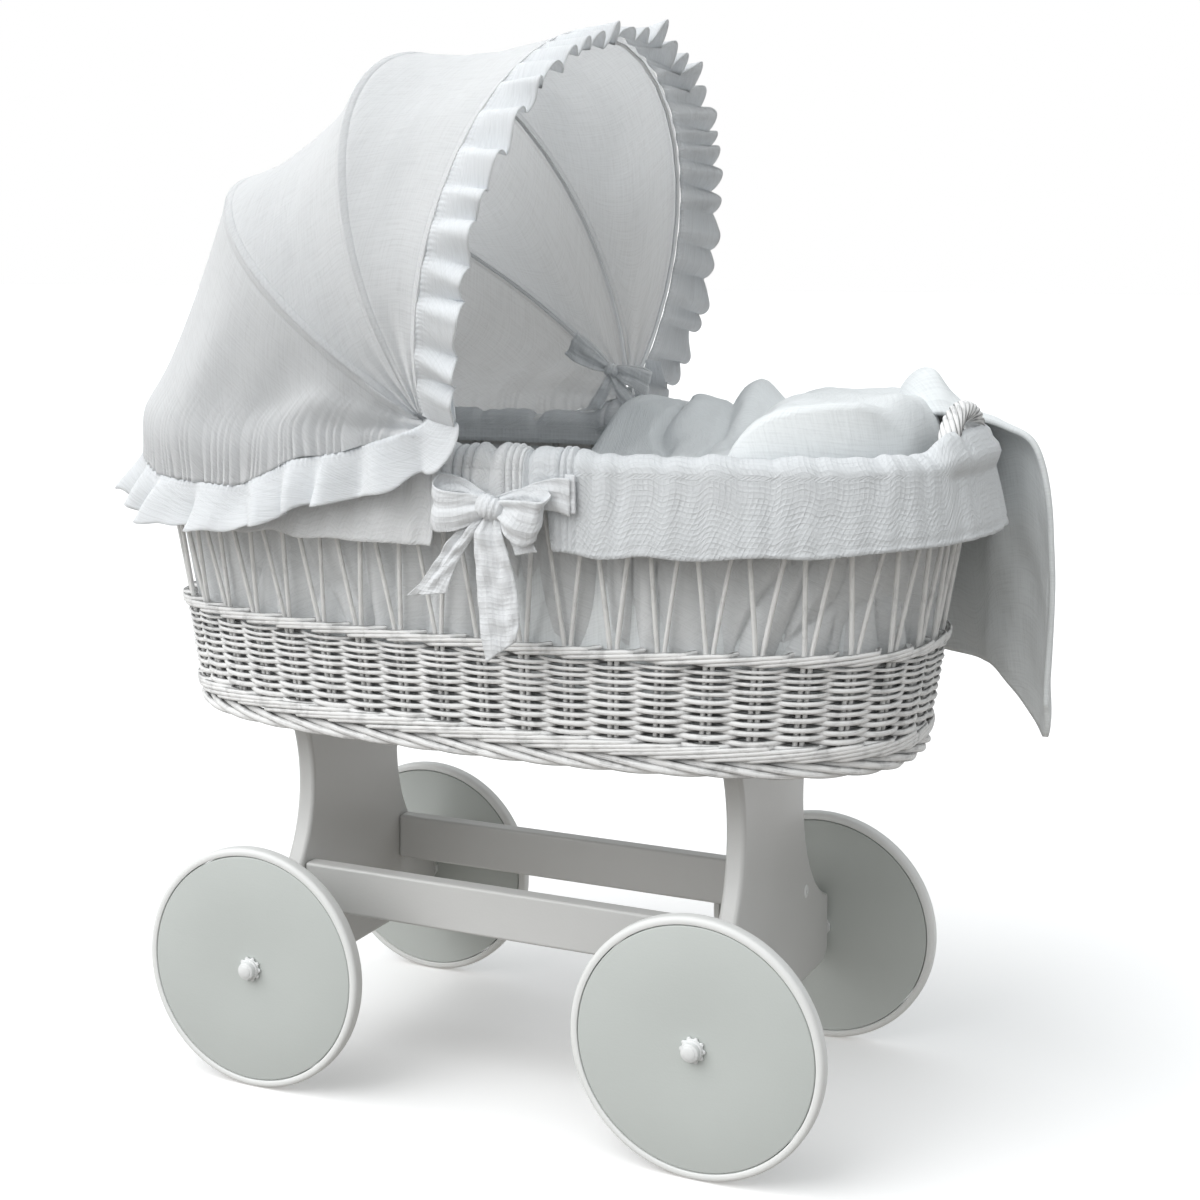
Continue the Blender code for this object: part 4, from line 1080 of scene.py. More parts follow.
def cover_grid(shares):
    """The rim cover's cloth at shares of the way round: inner skirt, over the rim, outer skirt."""
    angle = even_angle(shares)
    middle, out = rim_frame(angle)
    x = middle[:, 0]
    around = shares * PERIMETER
    cut = window(GATHER_LOW, GATHER_HIGH, 0.006, x)
    tied = window(GATHER_LOW - 0.018, GATHER_HIGH + 0.016, 0.030, x)
    foot = np.maximum(np.cos(angle), 0) ** 3
    hem = 0.5845 + 0.014 * foot + 0.0016 * ring_wander(61, 0.07, shares, PERIMETER)
    hem = hem + (0.6300 - hem) * cut
    flare = 0.019 * foot
    # From the inner hem: how far out of the rim's middle, how high, and how deep its folds are
    columns = [(-COVER_OVER, z, 0.0) for z in np.linspace(0.641, RIM_Z, 5)[:-1]]
    for turn in np.linspace(0, pi, 15):
        reach = COVER_OVER + flare * 0.35 * smooth_step(pi / 2, pi, turn)
        rise = RIM_Z + COVER_OVER * sin(turn)
        columns.append((-reach * cos(turn), rise, 0.55 + 0.35 * sin(turn)))
    for part in np.linspace(0, 1, 20)[1:]:
        reach = COVER_OVER + flare * (0.35 + 0.65 * part) + 0.0022 * part
        columns.append((reach, RIM_Z + (hem - RIM_Z) * part, 0.75))
    reach, z, depth = (np.stack([c[k] + 0 * x for c in columns], 1) for k in range(3))
    u = around[:, None] + 0 * z
    # Soft creases everywhere; tight gathers where the ribbon ties the cloth down
    ring = shares[:, None]
    loose = ring_wander(62, 0.055, ring, PERIMETER, z, 0.8) * 0.0014
    upright = ring_wander(63, 0.021, ring, PERIMETER, z * 0.4, 0.5) * 0.0008
    pulled = np.maximum(0.0, ring_wander(66, 0.034, ring, PERIMETER, z * 0.2, 0.4)) ** 2
    upright = upright - 0.0026 * pulled * smooth_step(0.640, 0.672, z)
    phase = pi * u / 0.0125 + 1.9 * ring_wander(64, 0.05, shares, PERIMETER)[:, None]
    phase = phase + 8.0 * (z - 0.66) * ring_wander(65, 0.05, shares, PERIMETER)[:, None]
    phase = phase + 16.0 * (z - 0.64) * (x[:, None] - 0.055) / 0.06 * tied[:, None]
    pleats = gathers(phase, 0.75) - 0.5
    high = smooth_step(0.622, 0.668, z)
    far_side = smooth_step(0.0, 0.1, middle[:, 1])
    lifted = tied * (0.0035 + 0.010 * far_side)
    gather = 0.0068 * tied[:, None] * pleats * (0.45 + 0.55 * high) + lifted[:, None] * high
    # By the handle the spare cloth lies in two soft rolls
    bunch = window(-0.070, 0.056, 0.026, middle[:, 1]) * (x > 0.3)
    outside = smooth_step(-0.002, 0.008, reach)
    rolls = gathers(pi * (z - 0.6605) / 0.0105, 0.6) * smooth_step(0.655, 0.662, z)
    heap = bunch[:, None] * outside * (0.0060 * smooth_step(0.655, 0.676, z) + 0.0045 * rolls)
    rolled = 0.0013 * crease((z - hem[:, None] - 0.006), 0.0022) * (1 - cut[:, None])
    offset = depth * (loose + upright + gather) + 0.0002 - rolled + heap
    lift = np.clip((z - RIM_Z) / COVER_OVER, 0, 1)
    side = np.sign(reach) * np.sqrt(np.maximum(0.0, 1 - lift**2))
    points = middle[:, None] + out[:, None] * (reach + side * offset)[..., None]
    points[..., 2] = z + lift * offset + 0.012 * bunch[:, None] * outside * lift
    return points


def make_rim_covers(surfaces):
    """Two lengths of crinkled cloth over the rim, gathered under the ribbons near where they meet."""
    count = 1500
    shares = np.arange(count) / count
    x, _ = oval(*basket_size(RIM_Z, RIM_RADIUS), even_angle(shares))
    seam = int(np.argmax(x < COVER_SEAM_X))
    head = np.arange(seam, count - seam + 1) / count
    foot = np.arange(count - seam, count + seam + 1) / count
    for end, span, look, hole in (
        # The head length takes the lightened copy of the cover cloth: painted light against the shade
        # under the hood.
        ("head", head, "head_cover_lightened", bracket_slit),
        ("foot", foot, "cover", handle_slot),
    ):
        make_cloth(
            f"cover_{end}", cover_grid(span), surfaces[look], "stand", f"rim_cover_{end}",
            "gathered", ["rim_rods"], 0.0016, hole=hole,
        )


def handle_slot(x, y, z):
    """Where the cover is cut away round the foot handle."""
    return (x > 0.412) & (x < 0.4335) & (abs(y) < 0.070) & (z > 0.6715)


def bracket_slit(x, y, z):
    """A slit over each pivot bracket's ear."""
    return (abs(x - PIVOT_X) < 0.0112) & (abs(abs(y) - 0.2357) < 0.0035) & (z > 0.664)


# ---------------------------------------------------------------- ribbons and bows
def ribbon(shape, grids, path, across, width, pleats, depth, count, seed):
    """A strip of muslin along control points; width and depth may change along it.

    pleats is the number of folds across it. depth is how deep they are.
    """
    path = curve_through(path, count)
    across = unit(curve_through(np.broadcast_to(across, (len(across), 3)), count))
    steps = np.linspace(0, 1, count)
    width = np.interp(steps, np.linspace(0, 1, len(width)), width)
    depth = np.interp(steps, np.linspace(0, 1, len(depth)), depth)
    normal = unit(np.cross(tangents(path), across))
    w = np.linspace(-0.5, 0.5, 17)
    length = lengths_along(path)
    drift = wander(seed, 0.05, length)[:, None]
    wave = np.cos(2 * pi * pleats * w[None] + 1.2 * drift + seed)
    wave = wave + 0.4 * np.cos(4.3 * pi * pleats * w[None] + seed * 2.1 + drift)
    crumple = 0.0009 * wander(seed + 7, 0.018, length[:, None] + 0 * w, (width[:, None] * w))
    offset = depth[:, None] * wave + crumple
    points = (
        path[:, None]
        + across[:, None] * (w * width[:, None])[..., None]
        + normal[:, None] * offset[..., None]
    )
    shape.sheet(points, 0.0011)
    grids.append(points)


def knot(shape, centre, size, turn=0.0):
    """A small tight wrap of cloth with folds running over it."""
    along = np.linspace(0, 2 * pi, 48, endpoint=False)
    across = np.linspace(-1, 1, 21)
    a, w = np.meshgrid(along, across, indexing="ij")
    swell = np.sqrt(np.maximum(0.0, 1 - w**2)) ** 0.8
    folds = 1 + 0.09 * np.cos(5.5 * w * pi + 1.3 * np.sin(a + turn)) * swell
    folds = folds + 0.05 * np.cos(2 * a + 3 * w + turn)
    reach = swell * folds
    x = size[0] * w
    y = size[1] * reach * np.cos(a)
    z = size[2] * reach * np.sin(a)
    px = centre[0] + x * cos(turn) - z * sin(turn)
    pz = centre[2] + x * sin(turn) + z * cos(turn)
    shape.grid(np.stack([px, centre[1] + y, pz], -1), close_rows=True, flip=True)


def tie(shape, at, strips):
    """Adds strips of a bow to a shape, and returns their grids of points.

    A strip is its points, the directions across it, its widths, the number of its pleats,
    their depths, its steps and its seed. at places a point (x, z, out) on the object.
    """
    grids = []
    for line, across, widths, pleats, depths, count, seed in strips:
        path = [at(*point) for point in line]
        ribbon(shape, grids, path, across, widths, pleats, depths, count, seed)
    return grids


UP = (0, 0, 1)
RIM_BOW = (
    # The band along the rim, from one cover's edge to the other's sewn tab
    ([(-0.066, 0.012, -0.0070), (-0.052, 0.013, -0.0045), (-0.030, 0.007, -0.0020),
      (-0.010, 0.001, 0.0000), (0.012, 0.000, 0.0000), (0.036, 0.009, -0.0015),
      (0.062, 0.012, -0.0035), (0.076, 0.010, -0.0050)],
     [UP] * 8, [0.022, 0.024, 0.020, 0.012, 0.012, 0.022, 0.031, 0.035],
     2.5, [0.0006, 0.0010, 0.0014, 0.0018, 0.0018, 0.0014, 0.0008, 0.0005], 60, 3),
    # The left loop, out along the front and back behind, hanging a little
    ([(-0.003, -0.002, 0.003), (-0.016, -0.004, 0.0080), (-0.034, -0.007, 0.0115),
      (-0.052, -0.007, 0.0105), (-0.060, -0.001, 0.0050), (-0.053, 0.010, 0.0005),
      (-0.030, 0.011, -0.0005), (-0.006, 0.004, 0.001)],
     [UP, UP, (0.05, 0, 1), (0.10, 0, 1), (0.05, 0, 1), UP, UP, UP],
     [0.013, 0.028, 0.037, 0.041, 0.040, 0.034, 0.024, 0.012],
     1.6, [0.0022, 0.0020, 0.0013, 0.0009, 0.0010, 0.0012, 0.0016, 0.0018], 60, 5),
    # The right loop, shorter and rounder, turned a little towards the foot
    ([(0.005, -0.003, 0.003), (0.016, -0.007, 0.0105), (0.032, -0.012, 0.0145),
      (0.047, -0.014, 0.0115), (0.053, -0.007, 0.0045), (0.044, 0.004, 0.0010),
      (0.022, 0.005, 0.0005), (0.005, 0.002, 0.001)],
     [(0.1, 0, 1), (0.25, 0, 1), (0.35, 0, 1), (0.35, 0, 1), (0.3, 0, 1), (0.2, 0, 1),
      (0.1, 0, 1), UP],
     [0.013, 0.028, 0.042, 0.046, 0.042, 0.030, 0.020, 0.012],
     1.5, [0.0020, 0.0021, 0.0014, 0.0010, 0.0011, 0.0015, 0.0015, 0.0016], 60, 8),
    # The long tail
    ([(0.001, -0.008, 0.0050), (0.000, -0.028, 0.0085), (0.004, -0.052, 0.0080),
      (0.008, -0.080, 0.0065), (0.011, -0.108, 0.0068), (0.012, -0.136, 0.0060)],
     [(1, 0, 0.1), (1, 0, 0), (1, 0, 0.05), (1, 0.05, 0.1), (1, 0.1, 0.30), (1, 0.1, 0.75)],
     [0.014, 0.031, 0.037, 0.040, 0.041, 0.038],
     1.7, [0.0022, 0.0021, 0.0015, 0.0012, 0.0010, 0.0008], 60, 9),
    # The shorter tail, out to the left
    ([(-0.014, -0.012, 0.0020), (-0.028, -0.030, 0.0055), (-0.042, -0.050, 0.0060),
      (-0.055, -0.070, 0.0062), (-0.066, -0.088, 0.0060)],
     [(1, 0, 0.3), (1, 0, 0.45), (1, 0, 0.50), (1, 0, 0.42), (1, 0, 0.12)],
     [0.018, 0.034, 0.037, 0.039, 0.043], 1.5, [0.0021, 0.0018, 0.0013, 0.0010, 0.0008], 60, 12),
    # The end that shows behind the right loop
    ([(0.016, -0.014, 0.0020), (0.028, -0.028, 0.0035), (0.036, -0.043, 0.0040)],
     [(1, 0, 0.2), (1, 0, 0.3), (1, 0, 0.2)],
     [0.014, 0.020, 0.022], 1.0, [0.0014, 0.0011, 0.0008], 20, 14),
)


def make_rim_bow(side_name, side, surfaces):
    """The ribbon tied over the gathered stretch of the rim cover, with its bow and tails."""

    def at(x, z, out):
        return (0.060 + x, side * (0.2590 + out), 0.629 + z)

    shape = Shape()
    grids = tie(shape, at, RIM_BOW)
    knot(shape, at(0.000, -0.002, 0.0060), (0.0150, 0.0085, 0.0120), 0.35 * side)
    name = f"rim_bow_{side_name}"
    piece = shape.build(f"ribbon_{side_name}", surfaces["ribbon"], "stand", [name], "muslin")
    declare_cloth(grids)
    make_tab(side_name, side, surfaces)


def make_tab(side_name, side, surfaces):
    """The folded tab on the foot cover's edge that the ribbon is sewn to."""
    z = np.linspace(0.6240, 0.6600, 16)
    w = np.linspace(-1, 1, 9)
    zz, ww = np.meshgrid(z, w, indexing="ij")
    x = 0.1350 + 0.0050 * ww - 0.02 * (zz - 0.64)
    out = 0.2505 + 0.0014 * np.sqrt(np.maximum(0, 1 - ww**2)) + 0.0003 * wander(71, 0.01, zz, x)
    points, name = np.stack([x, side * out, zz], -1), f"tab_{side_name}"
    make_cloth(name, points, surfaces["ribbon"], "stand", None, "folded", ["cover_foot"], 0.0012)


SLANT = (0.2, 0, 1)
LOOP_DEPTHS = [0.0014, 0.0012, 0.0008, 0.0006, 0.0008, 0.0012, 0.0012]
HOOD_TIE = (
    # The loop towards the head
    ([(-0.002, 0.001, 0.002), (-0.020, 0.010, 0.005), (-0.040, 0.022, 0.006),
      (-0.050, 0.030, 0.003), (-0.040, 0.026, -0.001), (-0.018, 0.012, -0.001),
      (-0.002, 0.002, 0.0)],
     [SLANT, (0.5, 0, 1), (0.6, 0, 1), (0.6, 0, 1), (0.6, 0, 1), (0.5, 0, 1), SLANT],
     [0.009, 0.020, 0.027, 0.029, 0.026, 0.018, 0.009], 1.5, LOOP_DEPTHS, 60, 21),
    # The loop towards the foot
    ([(0.002, 0.000, 0.002), (0.018, -0.004, 0.006), (0.036, -0.010, 0.006),
      (0.046, -0.014, 0.003), (0.036, -0.008, -0.001), (0.016, -0.002, -0.001),
      (0.002, 0.001, 0.0)],
     [SLANT] * 7, [0.009, 0.019, 0.026, 0.028, 0.025, 0.017, 0.009], 1.5, LOOP_DEPTHS, 60, 23),
    # The tails
    ([(0.0, -0.004, 0.003), (0.0120, -0.022, 0.005), (0.030, -0.044, 0.004)],
     [(1, 0, 0.2)] * 3, [0.009, 0.018, 0.022], 1.3, [0.0012, 0.0010, 0.0006], 30, 25),
    ([(0.0, -0.004, 0.003), (-0.0088, -0.023, 0.005), (-0.022, -0.046, 0.004)],
     [(1, 0, 0.2)] * 3, [0.009, 0.018, 0.022], 1.3, [0.0012, 0.0010, 0.0006], 30, 27),
)


def make_hood_tie(side_name, side, surfaces):
    """The small bow that ties the hood to its pivot, inside the rim."""
    knot_x, knot_z, spread = (-0.020, 0.727, 1.0) if side > 0 else (-0.040, 0.724, 0.6)

    def at(x, z, into):
        return (knot_x + spread * x, side * (0.219 - into), knot_z + z)

    shape = Shape()
    grids = tie(shape, at, HOOD_TIE)
    knot(shape, at(0.0, 0.0, 0.002), (0.0095, 0.0055, 0.0080), -0.3)
    name = f"hood_tie_{side_name}"
    # The tie takes the lightened cover cloth, to lift the shade it sits in inside the hood: painted
    # light.
    piece = shape.build(f"tie_{side_name}", surfaces["head_cover_lightened"], "stand", [name], "muslin")
    declare_cloth(grids)


# ---------------------------------------------------------------- hood
def hoop_points(which, share, standoff=0.0):
    """Points on a hoop's line, for shares from 0 (near foot) to 1 (far foot)."""
    half_width, bulge = HOOP_HALF_WIDTH[which], HOOP_BULGE[which]
    foot = -acos(HOOP_FOOT_Y[which] / half_width)
    angle = pi - foot + share * (2 * foot - pi)
    reach = -bulge * sin(foot) + (bulge + standoff) * np.sin(angle)
    plane = radians(HOOP_ANGLE[which])
    y = (half_width + standoff) * np.cos(angle)
    return np.stack([PIVOT_X + reach * cos(plane), y, PIVOT_Z + reach * sin(plane)], -1)


def seam_points(share):
    """The hem line where the rear panel meets the rim, near side to far."""
    angle = np.radians(270.2 - 180.4 * share)
    x, y = oval(HEM_HALF_LENGTH, HEM_HALF_WIDTH, angle)
    z = 0.648 - 0.018 * smooth_step(-0.44, -0.34, x) + 0.036 * smooth_step(-0.24, -0.13, x)
    z = z + 0.022 * smooth_step(-0.13, -0.03, x)
    return np.stack([x, y, z], -1)


def shoulder_points(share):
    seam = seam_points(share)
    return np.stack([seam[:, 0] * 0.998, seam[:, 1] * 1.002, 0 * share + 0.694], -1)


EDGE_STEPS = np.array([0.0, 0.0010, 0.0022, 0.0034, 0.0046, 0.0056, 0.0064, 0.0074, 0.0090])


def span_parts(width):
    """Shares across a panel of a given width, close together by its sewn edges."""
    edge = EDGE_STEPS * min(1.0, width / 0.05) / width
    middle = np.linspace(edge[-1], 1 - edge[-1], 28)[1:-1]
    return np.concatenate([edge, middle, (1 - edge)[::-1]])


def casing(edge):
    """How far the cloth stands up over the rod in its casing, with the seam beside it."""
    rod = 0.0011 * np.sqrt(np.clip(1 - (edge / 0.0062) ** 2, 0, 1))
    return rod - 0.0007 * crease(edge - 0.0068, 0.0009)


def panel_grid(first, second, sag, share, seed):
    """A panel between two hoops: taut cloth that sags a little, with creases to the pivots."""
    near, far = first(share), second(share)
    width = np.linalg.norm(far - near, axis=-1)
    parts = np.stack([span_parts(w) for w in width])
    points = near[:, None] * (1 - parts[..., None]) + far[:, None] * parts[..., None]
    axis = np.array([PIVOT_X, 0.0, PIVOT_Z])
    inwards = unit(axis - points)
    dip = sag * 4 * parts * (1 - parts) * np.sin(pi * share)[:, None] ** 0.5
    edge = np.minimum(parts, 1 - parts) * width[:, None]
    run = lengths_along(near)[:, None]
    away = np.minimum(share, 1 - share)[:, None]
    pull = np.exp(-away / 0.055)
    fan = np.cos(2 * pi * 2.3 * parts + seed + 2.0 * wander(seed, 0.25, run, parts * 0.05))
    fan = fan * np.sin(pi * parts) ** 0.5
    soft = wander(seed + 1, 0.16, run, parts * width[:, None]) * np.sin(pi * parts)
    ripples = wander(seed + 2, 0.035, run * 0.3, parts * width[:, None]) * np.sin(pi * parts)
    lift = casing(edge) + 0.0050 * pull * fan * np.minimum(1, away / 0.03)
    lift = lift + 0.0020 * soft + 0.0006 * ripples
    return points + inwards * dip[..., None] - inwards * lift[..., None]


def over(which):
    return lambda share: hoop_points(which, share, HOOP_FABRIC_GAP)


def hood_line(which, reach):
    """A point part of the way up a hoop's plane."""
    plane = radians(HOOP_ANGLE[which])
    return (PIVOT_X + reach * cos(plane), 0.0, PIVOT_Z + reach * sin(plane))


def make_hood_panels(surfaces):
    share = np.linspace(0.018, 0.982, 260)
    spans = (
        ("front", "middle", "hood_middle", "hood_front", 81, 0.010),
        ("middle", "rear", "hood_rear", "hood_middle", 85, 0.018),
    )
    for name, behind, rear_body, front_body, seed, sag in spans:
        points = panel_grid(over(name), over(behind), sag, share, seed)
        piece = make_cloth(
            f"canopy_{name}", points, surfaces["hood"], None, f"hood_panel_{name}", "stretched",
            [f"hoop_{name}", f"hoop_{behind}"],
        )
        start, end = hood_line(behind, 0.14), hood_line(name, 0.14)
        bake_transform(piece)
        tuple(start)
        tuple(end)
    make_rear_panel(surfaces, np.linspace(0.018, 0.982, 620))


def make_rear_panel(surfaces, share):
    """The back of the hood: from the rear hoop over the shoulder to its gathered hem."""
    along_hem = (share - share[0]) / (share[-1] - share[0])
    hoop, shoulder, seam = over("rear")(share), shoulder_points(along_hem), seam_points(along_hem)
    lower = np.linspace(0, 1, 18)[1:]
    width = np.linalg.norm(shoulder - hoop, axis=-1)
    parts = np.stack([span_parts(max(w, 0.02)) for w in width])
    top = hoop[:, None] * (1 - parts[..., None]) + shoulder[:, None] * parts[..., None]
    bottom = shoulder[:, None] * (1 - lower[:, None]) + seam[:, None] * lower[:, None]
    points = np.concatenate([top, bottom], 1)
    # Pulls the shoulder's bend soft, and leaves the casing and the hem where they are
    for _ in range(50):
        points[:, 9:-1] = (points[:, 8:-2] + 2 * points[:, 9:-1] + points[:, 10:]) / 4
    run = lengths_along(seam)[:, None]
    drop = lengths_along(points.transpose(1, 0, 2)).T
    total = drop[:, -1:]
    left = total - drop
    axis = np.array([PIVOT_X, 0.0, PIVOT_Z - 0.05])
    outwards = unit(points - axis)
    middle = np.sin(pi * np.clip(drop / total, 0, 1))
    away = np.minimum(share, 1 - share)[:, None]
    broad = wander(91, 0.115, run, drop * 0.10) * middle
    narrow = wander(92, 0.045, run, drop * 0.08) * middle
    fine = gathers(pi * run / 0.0115 + 1.8 * wander(93, 0.04, run), 0.7) - 0.5
    hem = np.exp(-left / 0.030)
    round_shoulder = 0.006 * np.exp(-(((left - 0.045) / 0.035) ** 2)) * np.minimum(1, away / 0.10)
    pull = np.exp(-away / 0.07)
    fan = np.cos(2 * pi * 2.0 * drop / total + 0.8) * middle
    lift = 0.0042 * broad + 0.0018 * narrow + 0.0052 * fine * hem + casing(drop)
    lift = lift + 0.0040 * pull * fan * np.minimum(1, away / 0.03)
    lift = lift + round_shoulder - 0.006 * middle * np.minimum(1, away / 0.15)
    points = points + outwards * lift[..., None]
    piece = make_cloth(
        "canopy_rear", points, surfaces["hood"], None, "hood_panel_rear", "gathered",
        ["hoop_rear", "cover_head"],
    )
    start, end = (-0.40, 0.0, 0.72), hood_line("rear", 0.20)
    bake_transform(piece)
    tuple(start)
    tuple(end)


def fold_table(length, period, seed):
    """Heights from -1 to 1 of irregular pleats: long easy rises and short turns back."""
    rng = np.random.default_rng(seed)
    place, height = [0.0], [0.0]
    while place[-1] < length + 2 * period:
        place.append(place[-1] + period * rng.uniform(0.50, 1.10))
        height.append(rng.uniform(0.45, 1.0))
        place.append(place[-1] + period * rng.uniform(0.16, 0.34))
        height.append(-rng.uniform(0.45, 1.0))
    fine = np.arange(0.0, length + period, 0.0005)
    zigzag = np.interp(fine, place, height)
    soft = 0.13 * period / 0.0005
    kernel = np.exp(-((np.arange(-int(2 * soft), int(2 * soft) + 1) / soft) ** 2))
    return fine, 1.25 * np.convolve(zigzag, kernel / kernel.sum(), "same")


def frill(base, across, normal, width, seed, period, swing, columns=16):
    """A gathered strip: base is its sewn line, across points to its free edge.

    Flat pleats turn back in short sharp folds, deeper towards the free edge.
    """
    run = lengths_along(base)[:, None]
    along = tangents(base)
    v = np.linspace(0, 1, columns)[None]
    fine, heights = fold_table(run[-1, 0], period, seed)
    lean = 0.16 * period * wander(seed + 1, 0.08, run) * v
    fold = np.interp(np.clip(run + lean, 0, None), fine, heights)
    slope = np.interp(np.clip(run + lean, 0, None), fine, np.gradient(heights))
    grow = (0.10 + 0.90 * v**0.85) * (1 + 0.25 * wander(seed + 2, 0.06, run))
    tucks = np.sin(2 * pi * run / 0.0046 + 2 * wander(seed + 4, 0.03, run)) * np.exp(-v / 0.12)
    push = swing * grow * fold + 0.0005 * tucks
    curl = 0.0035 * v * wander(seed + 5, 0.05, run, v * 0.03)
    slide = -0.16 * period * v * grow * np.clip(slope / 0.10, -1.0, 1.0)
    reach = width * v * (1 + 0.06 * wander(seed + 3, 0.04, run) + 0.13 * v * fold)
    return (
        base[:, None]
        + across[:, None] * reach[..., None]
        + normal[:, None] * (push + curl)[..., None]
        + along[:, None] * slide[..., None]
    )


def make_front_frill(surfaces):
    share = np.linspace(0.016, 0.984, 1100)
    base = hoop_points("front", share, HOOP_FABRIC_GAP + 0.0004)
    outward = unit(hoop_points("front", share, 0.02) - base)
    plane = radians(HOOP_ANGLE["front"] - 90)
    ahead = np.array([cos(plane), 0.0, sin(plane)])
    across = unit(ahead + outward * 0.12)
    normal = unit(outward - across * (outward * across).sum(-1, keepdims=True))
    base = base + ahead * 0.0012
    ends = np.minimum(1, np.minimum(share, 1 - share) / 0.05) ** 0.5
    width = 0.0435 * (0.70 + 0.30 * ends[:, None])
    points = frill(base, across, normal, width, 101, 0.0340, 0.0155)
    make_cloth(
        "frill_front", points, surfaces["ruffle"], "hood_front", "hood_ruffle_front",
        "gathered", ["canopy_front"],
    )


def frill_line(count):
    """The rear frill's sewn line: down from each pivot, round a corner, and along the hem."""
    corner = [(0.004, -0.2590, 0.7380), (0.001, -0.2625, 0.7170), (-0.014, -0.2640, 0.7000)]
    seam = seam_points(np.linspace(0.040, 0.960, 41))
    line = np.concatenate([corner, seam, np.array(corner[::-1]) * [1, -1, 1]])
    path = curve_through(line, 6 * count)
    run = lengths_along(path)
    even = np.linspace(0, run[-1], count)
    return np.stack([np.interp(even, run, path[:, k]) for k in range(3)], -1)


def make_rear_frill(surfaces):
    base = frill_line(1300)
    outward = unit(base * [HEM_HALF_LENGTH**-2, HEM_HALF_WIDTH**-2, 0.0])
    away = unit(np.cross(outward, tangents(base)))
    base = base + outward * 0.0016
    head = smooth_step(-0.28, -0.42, base[:, 0])[:, None]
    near_corner = smooth_step(-0.10, -0.02, base[:, 0])[:, None]
    across = unit(away + outward * (0.40 + 0.05 * head - 0.20 * near_corner))
    normal = unit(outward - across * (outward * across).sum(-1, keepdims=True))
    run = lengths_along(base)[:, None]
    start = smooth_step(0.0, 0.045, np.minimum(run, run[-1] - run))
    width = (0.0500 - 0.004 * near_corner - 0.004 * head) * (0.35 + 0.65 * start)
    points = frill(base, across, normal, width, 111, 0.056, 0.0150)
    make_cloth(
        "frill_rear", points, surfaces["ruffle"], "stand", "hood_ruffle_rear",
        "gathered", ["canopy_rear"],
    )


def make_hood(surfaces):
    for which in HOOP_ANGLE:
        dress(f"hoop_{which}", surfaces["hoop"])
    for side_name, side in SIDES:
        dress(f"pivot_bracket_{side_name}", surfaces["rod"])
        dress(f"pivot_pin_{side_name}", surfaces["steel"])
        make_hood_tie(side_name, side, surfaces)
    make_hood_panels(surfaces)
    make_front_frill(surfaces)
    make_rear_frill(surfaces)


def make_bedding(surfaces):
    make_lining(surfaces)
    make_mattress(surfaces)
    make_quilt(surfaces)
    make_rim_covers(surfaces)
    make_blanket(surfaces)
    for side_name, side in SIDES:
        make_rim_bow(side_name, side, surfaces)


# ---------------------------------------------------------------- camera and studio
def make_camera():
    """The three-quarter view from the near foot side, a little above the mattress."""
    turn, lift = radians(26.78), radians(4.45)
    back = Vector((sin(turn) * cos(lift), -cos(turn) * cos(lift), sin(lift)))
    data = bpy.data.cameras.new("camera")
    data.lens = 62.2
    data.shift_x = 0.1149
    data.shift_y = -0.1563
    camera = add_object("camera", data)
    camera.location = (0.8936, -1.9730, 0.8630)
    camera.rotation_euler = back.to_track_quat("Z", "Y").to_euler()
    bpy.context.scene.camera = camera


def make_sun(name, heading, softness, strength):
    data = bpy.data.lights.new(name, "SUN")
    data.angle = radians(softness)
    data.energy = strength
    light = add_object(name, data)
    light.rotation_euler = Vector(heading).to_track_quat("-Z", "Y").to_euler()


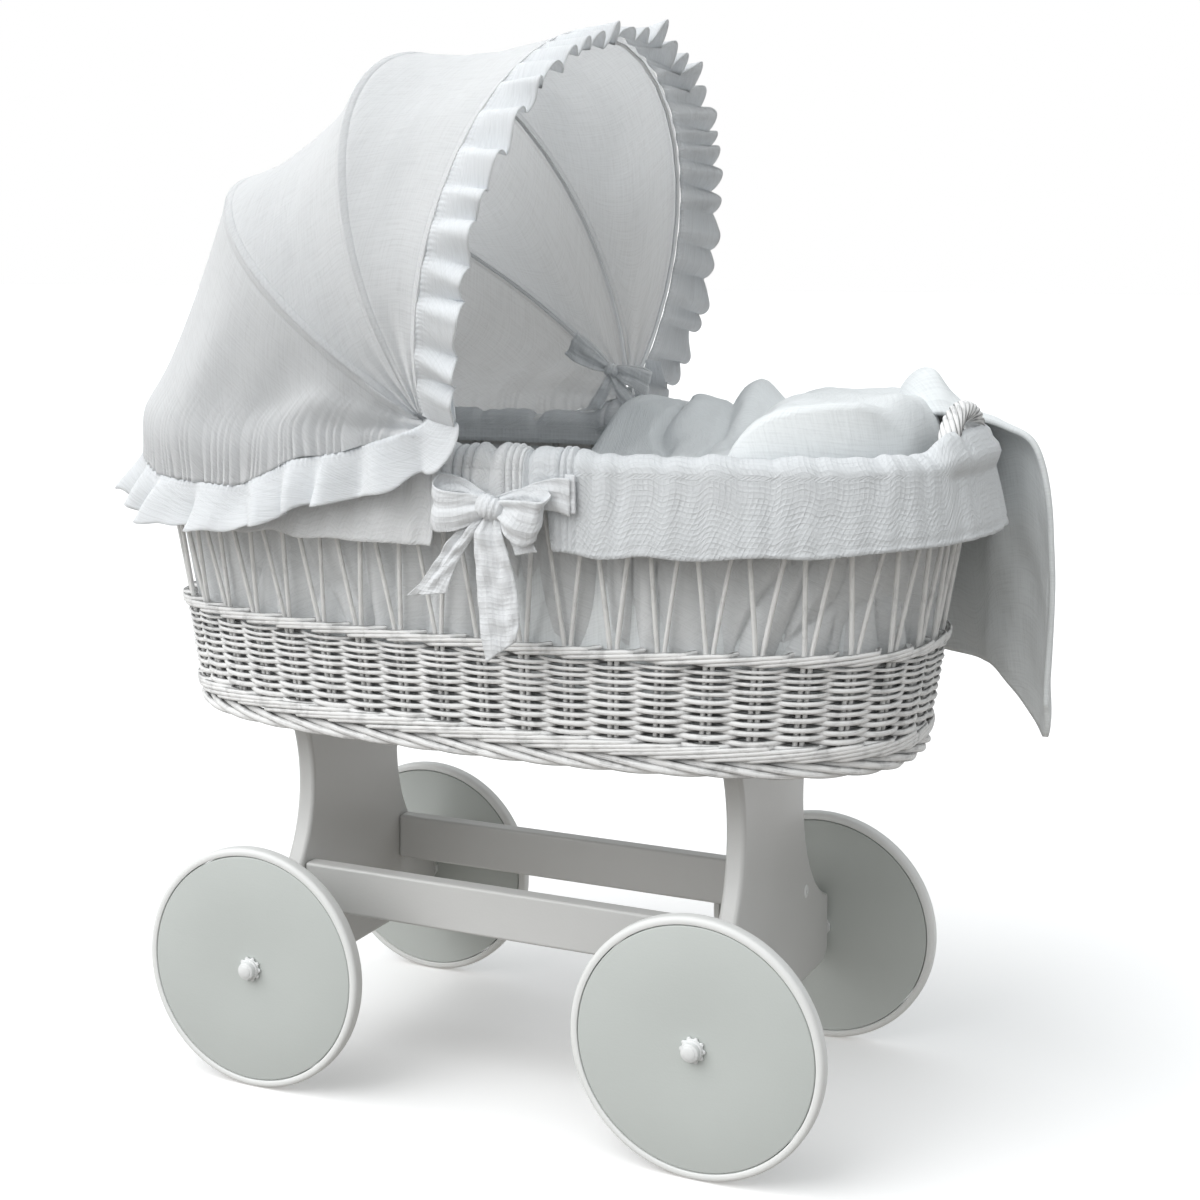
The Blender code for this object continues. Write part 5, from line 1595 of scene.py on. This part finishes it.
def make_world():
    """Soft light from every side, warmer and dimmer from below, before a white backdrop."""
    world = bpy.data.worlds.new("studio")
    bpy.context.scene.world = world
    world.use_nodes = True
    tree = world.node_tree
    room = tree.nodes["Background"]
    room.inputs["Strength"].default_value = 1.0
    backdrop = tree.nodes.new("ShaderNodeBackground")
    backdrop.inputs["Color"].default_value = (1.0, 1.0, 1.0, 1.0)
    place = tree.nodes.new("ShaderNodeTexCoord")
    split = tree.nodes.new("ShaderNodeSeparateXYZ")
    height = tree.nodes.new("ShaderNodeMapRange")
    height.inputs["From Min"].default_value = -1.0
    ramp = tree.nodes.new("ShaderNodeValToRGB")
    ramp.color_ramp.elements[0].position = 0.40
    ramp.color_ramp.elements[0].color = (0.30, 0.28, 0.255, 1.0)
    ramp.color_ramp.elements[1].position = 0.62
    ramp.color_ramp.elements[1].color = (0.66, 0.68, 0.69, 1.0)
    seen = tree.nodes.new("ShaderNodeLightPath")
    mix = tree.nodes.new("ShaderNodeMixShader")
    for source, target in (
        (place.outputs["Generated"], split.inputs[0]),
        (split.outputs["Z"], height.inputs["Value"]),
        (height.outputs[0], ramp.inputs[0]),
        (ramp.outputs[0], room.inputs["Color"]),
        (seen.outputs["Is Camera Ray"], mix.inputs[0]),
        (room.outputs[0], mix.inputs[1]),
        (backdrop.outputs[0], mix.inputs[2]),
        (mix.outputs[0], tree.nodes["World Output"].inputs[0]),
    ):
        tree.links.new(source, target)


def make_studio():
    """Broad soft light from above and both near corners, on a pale floor."""
    make_world()
    make_sun("key", (0.42, 0.50, -0.76), 60, KEY_LIGHT)
    make_sun("fill", (-0.33, 0.66, -0.67), 50, FILL_LIGHT)
    make_sun("side", (0.45, 0.85, -0.30), 50, SIDE_LIGHT)
    mesh = bpy.data.meshes.new("floor")
    reach = 40.0
    corners = [(-reach, -reach, 0), (reach, -reach, 0), (reach, reach, 0), (-reach, reach, 0)]
    mesh.from_pydata(corners, [], [(0, 1, 2, 3)])
    floor = add_object("floor", mesh)
    mesh.materials.append(floor_surface())
    floor.visible_diffuse = False
    bpy.context.scene.view_settings.view_transform = "Standard"


def floor_surface():
    made = Surface("paper floor", (0.94, 0.94, 0.94), 0.9)
    made.tint(made.noise(3.0), (0.93, 0.93, 0.93))
    made.shader.inputs["Emission Color"].default_value = (1.0, 1.0, 1.0, 1.0)
    made.shader.inputs["Emission Strength"].default_value = 0.16
    return made.made


def main():
    make_camera()
    make_studio()
    surfaces = make_surfaces()
    make_stand(surfaces)
    make_wheels(surfaces)
    make_basket(surfaces)
    make_bedding(surfaces)
    make_hood(surfaces)


main()
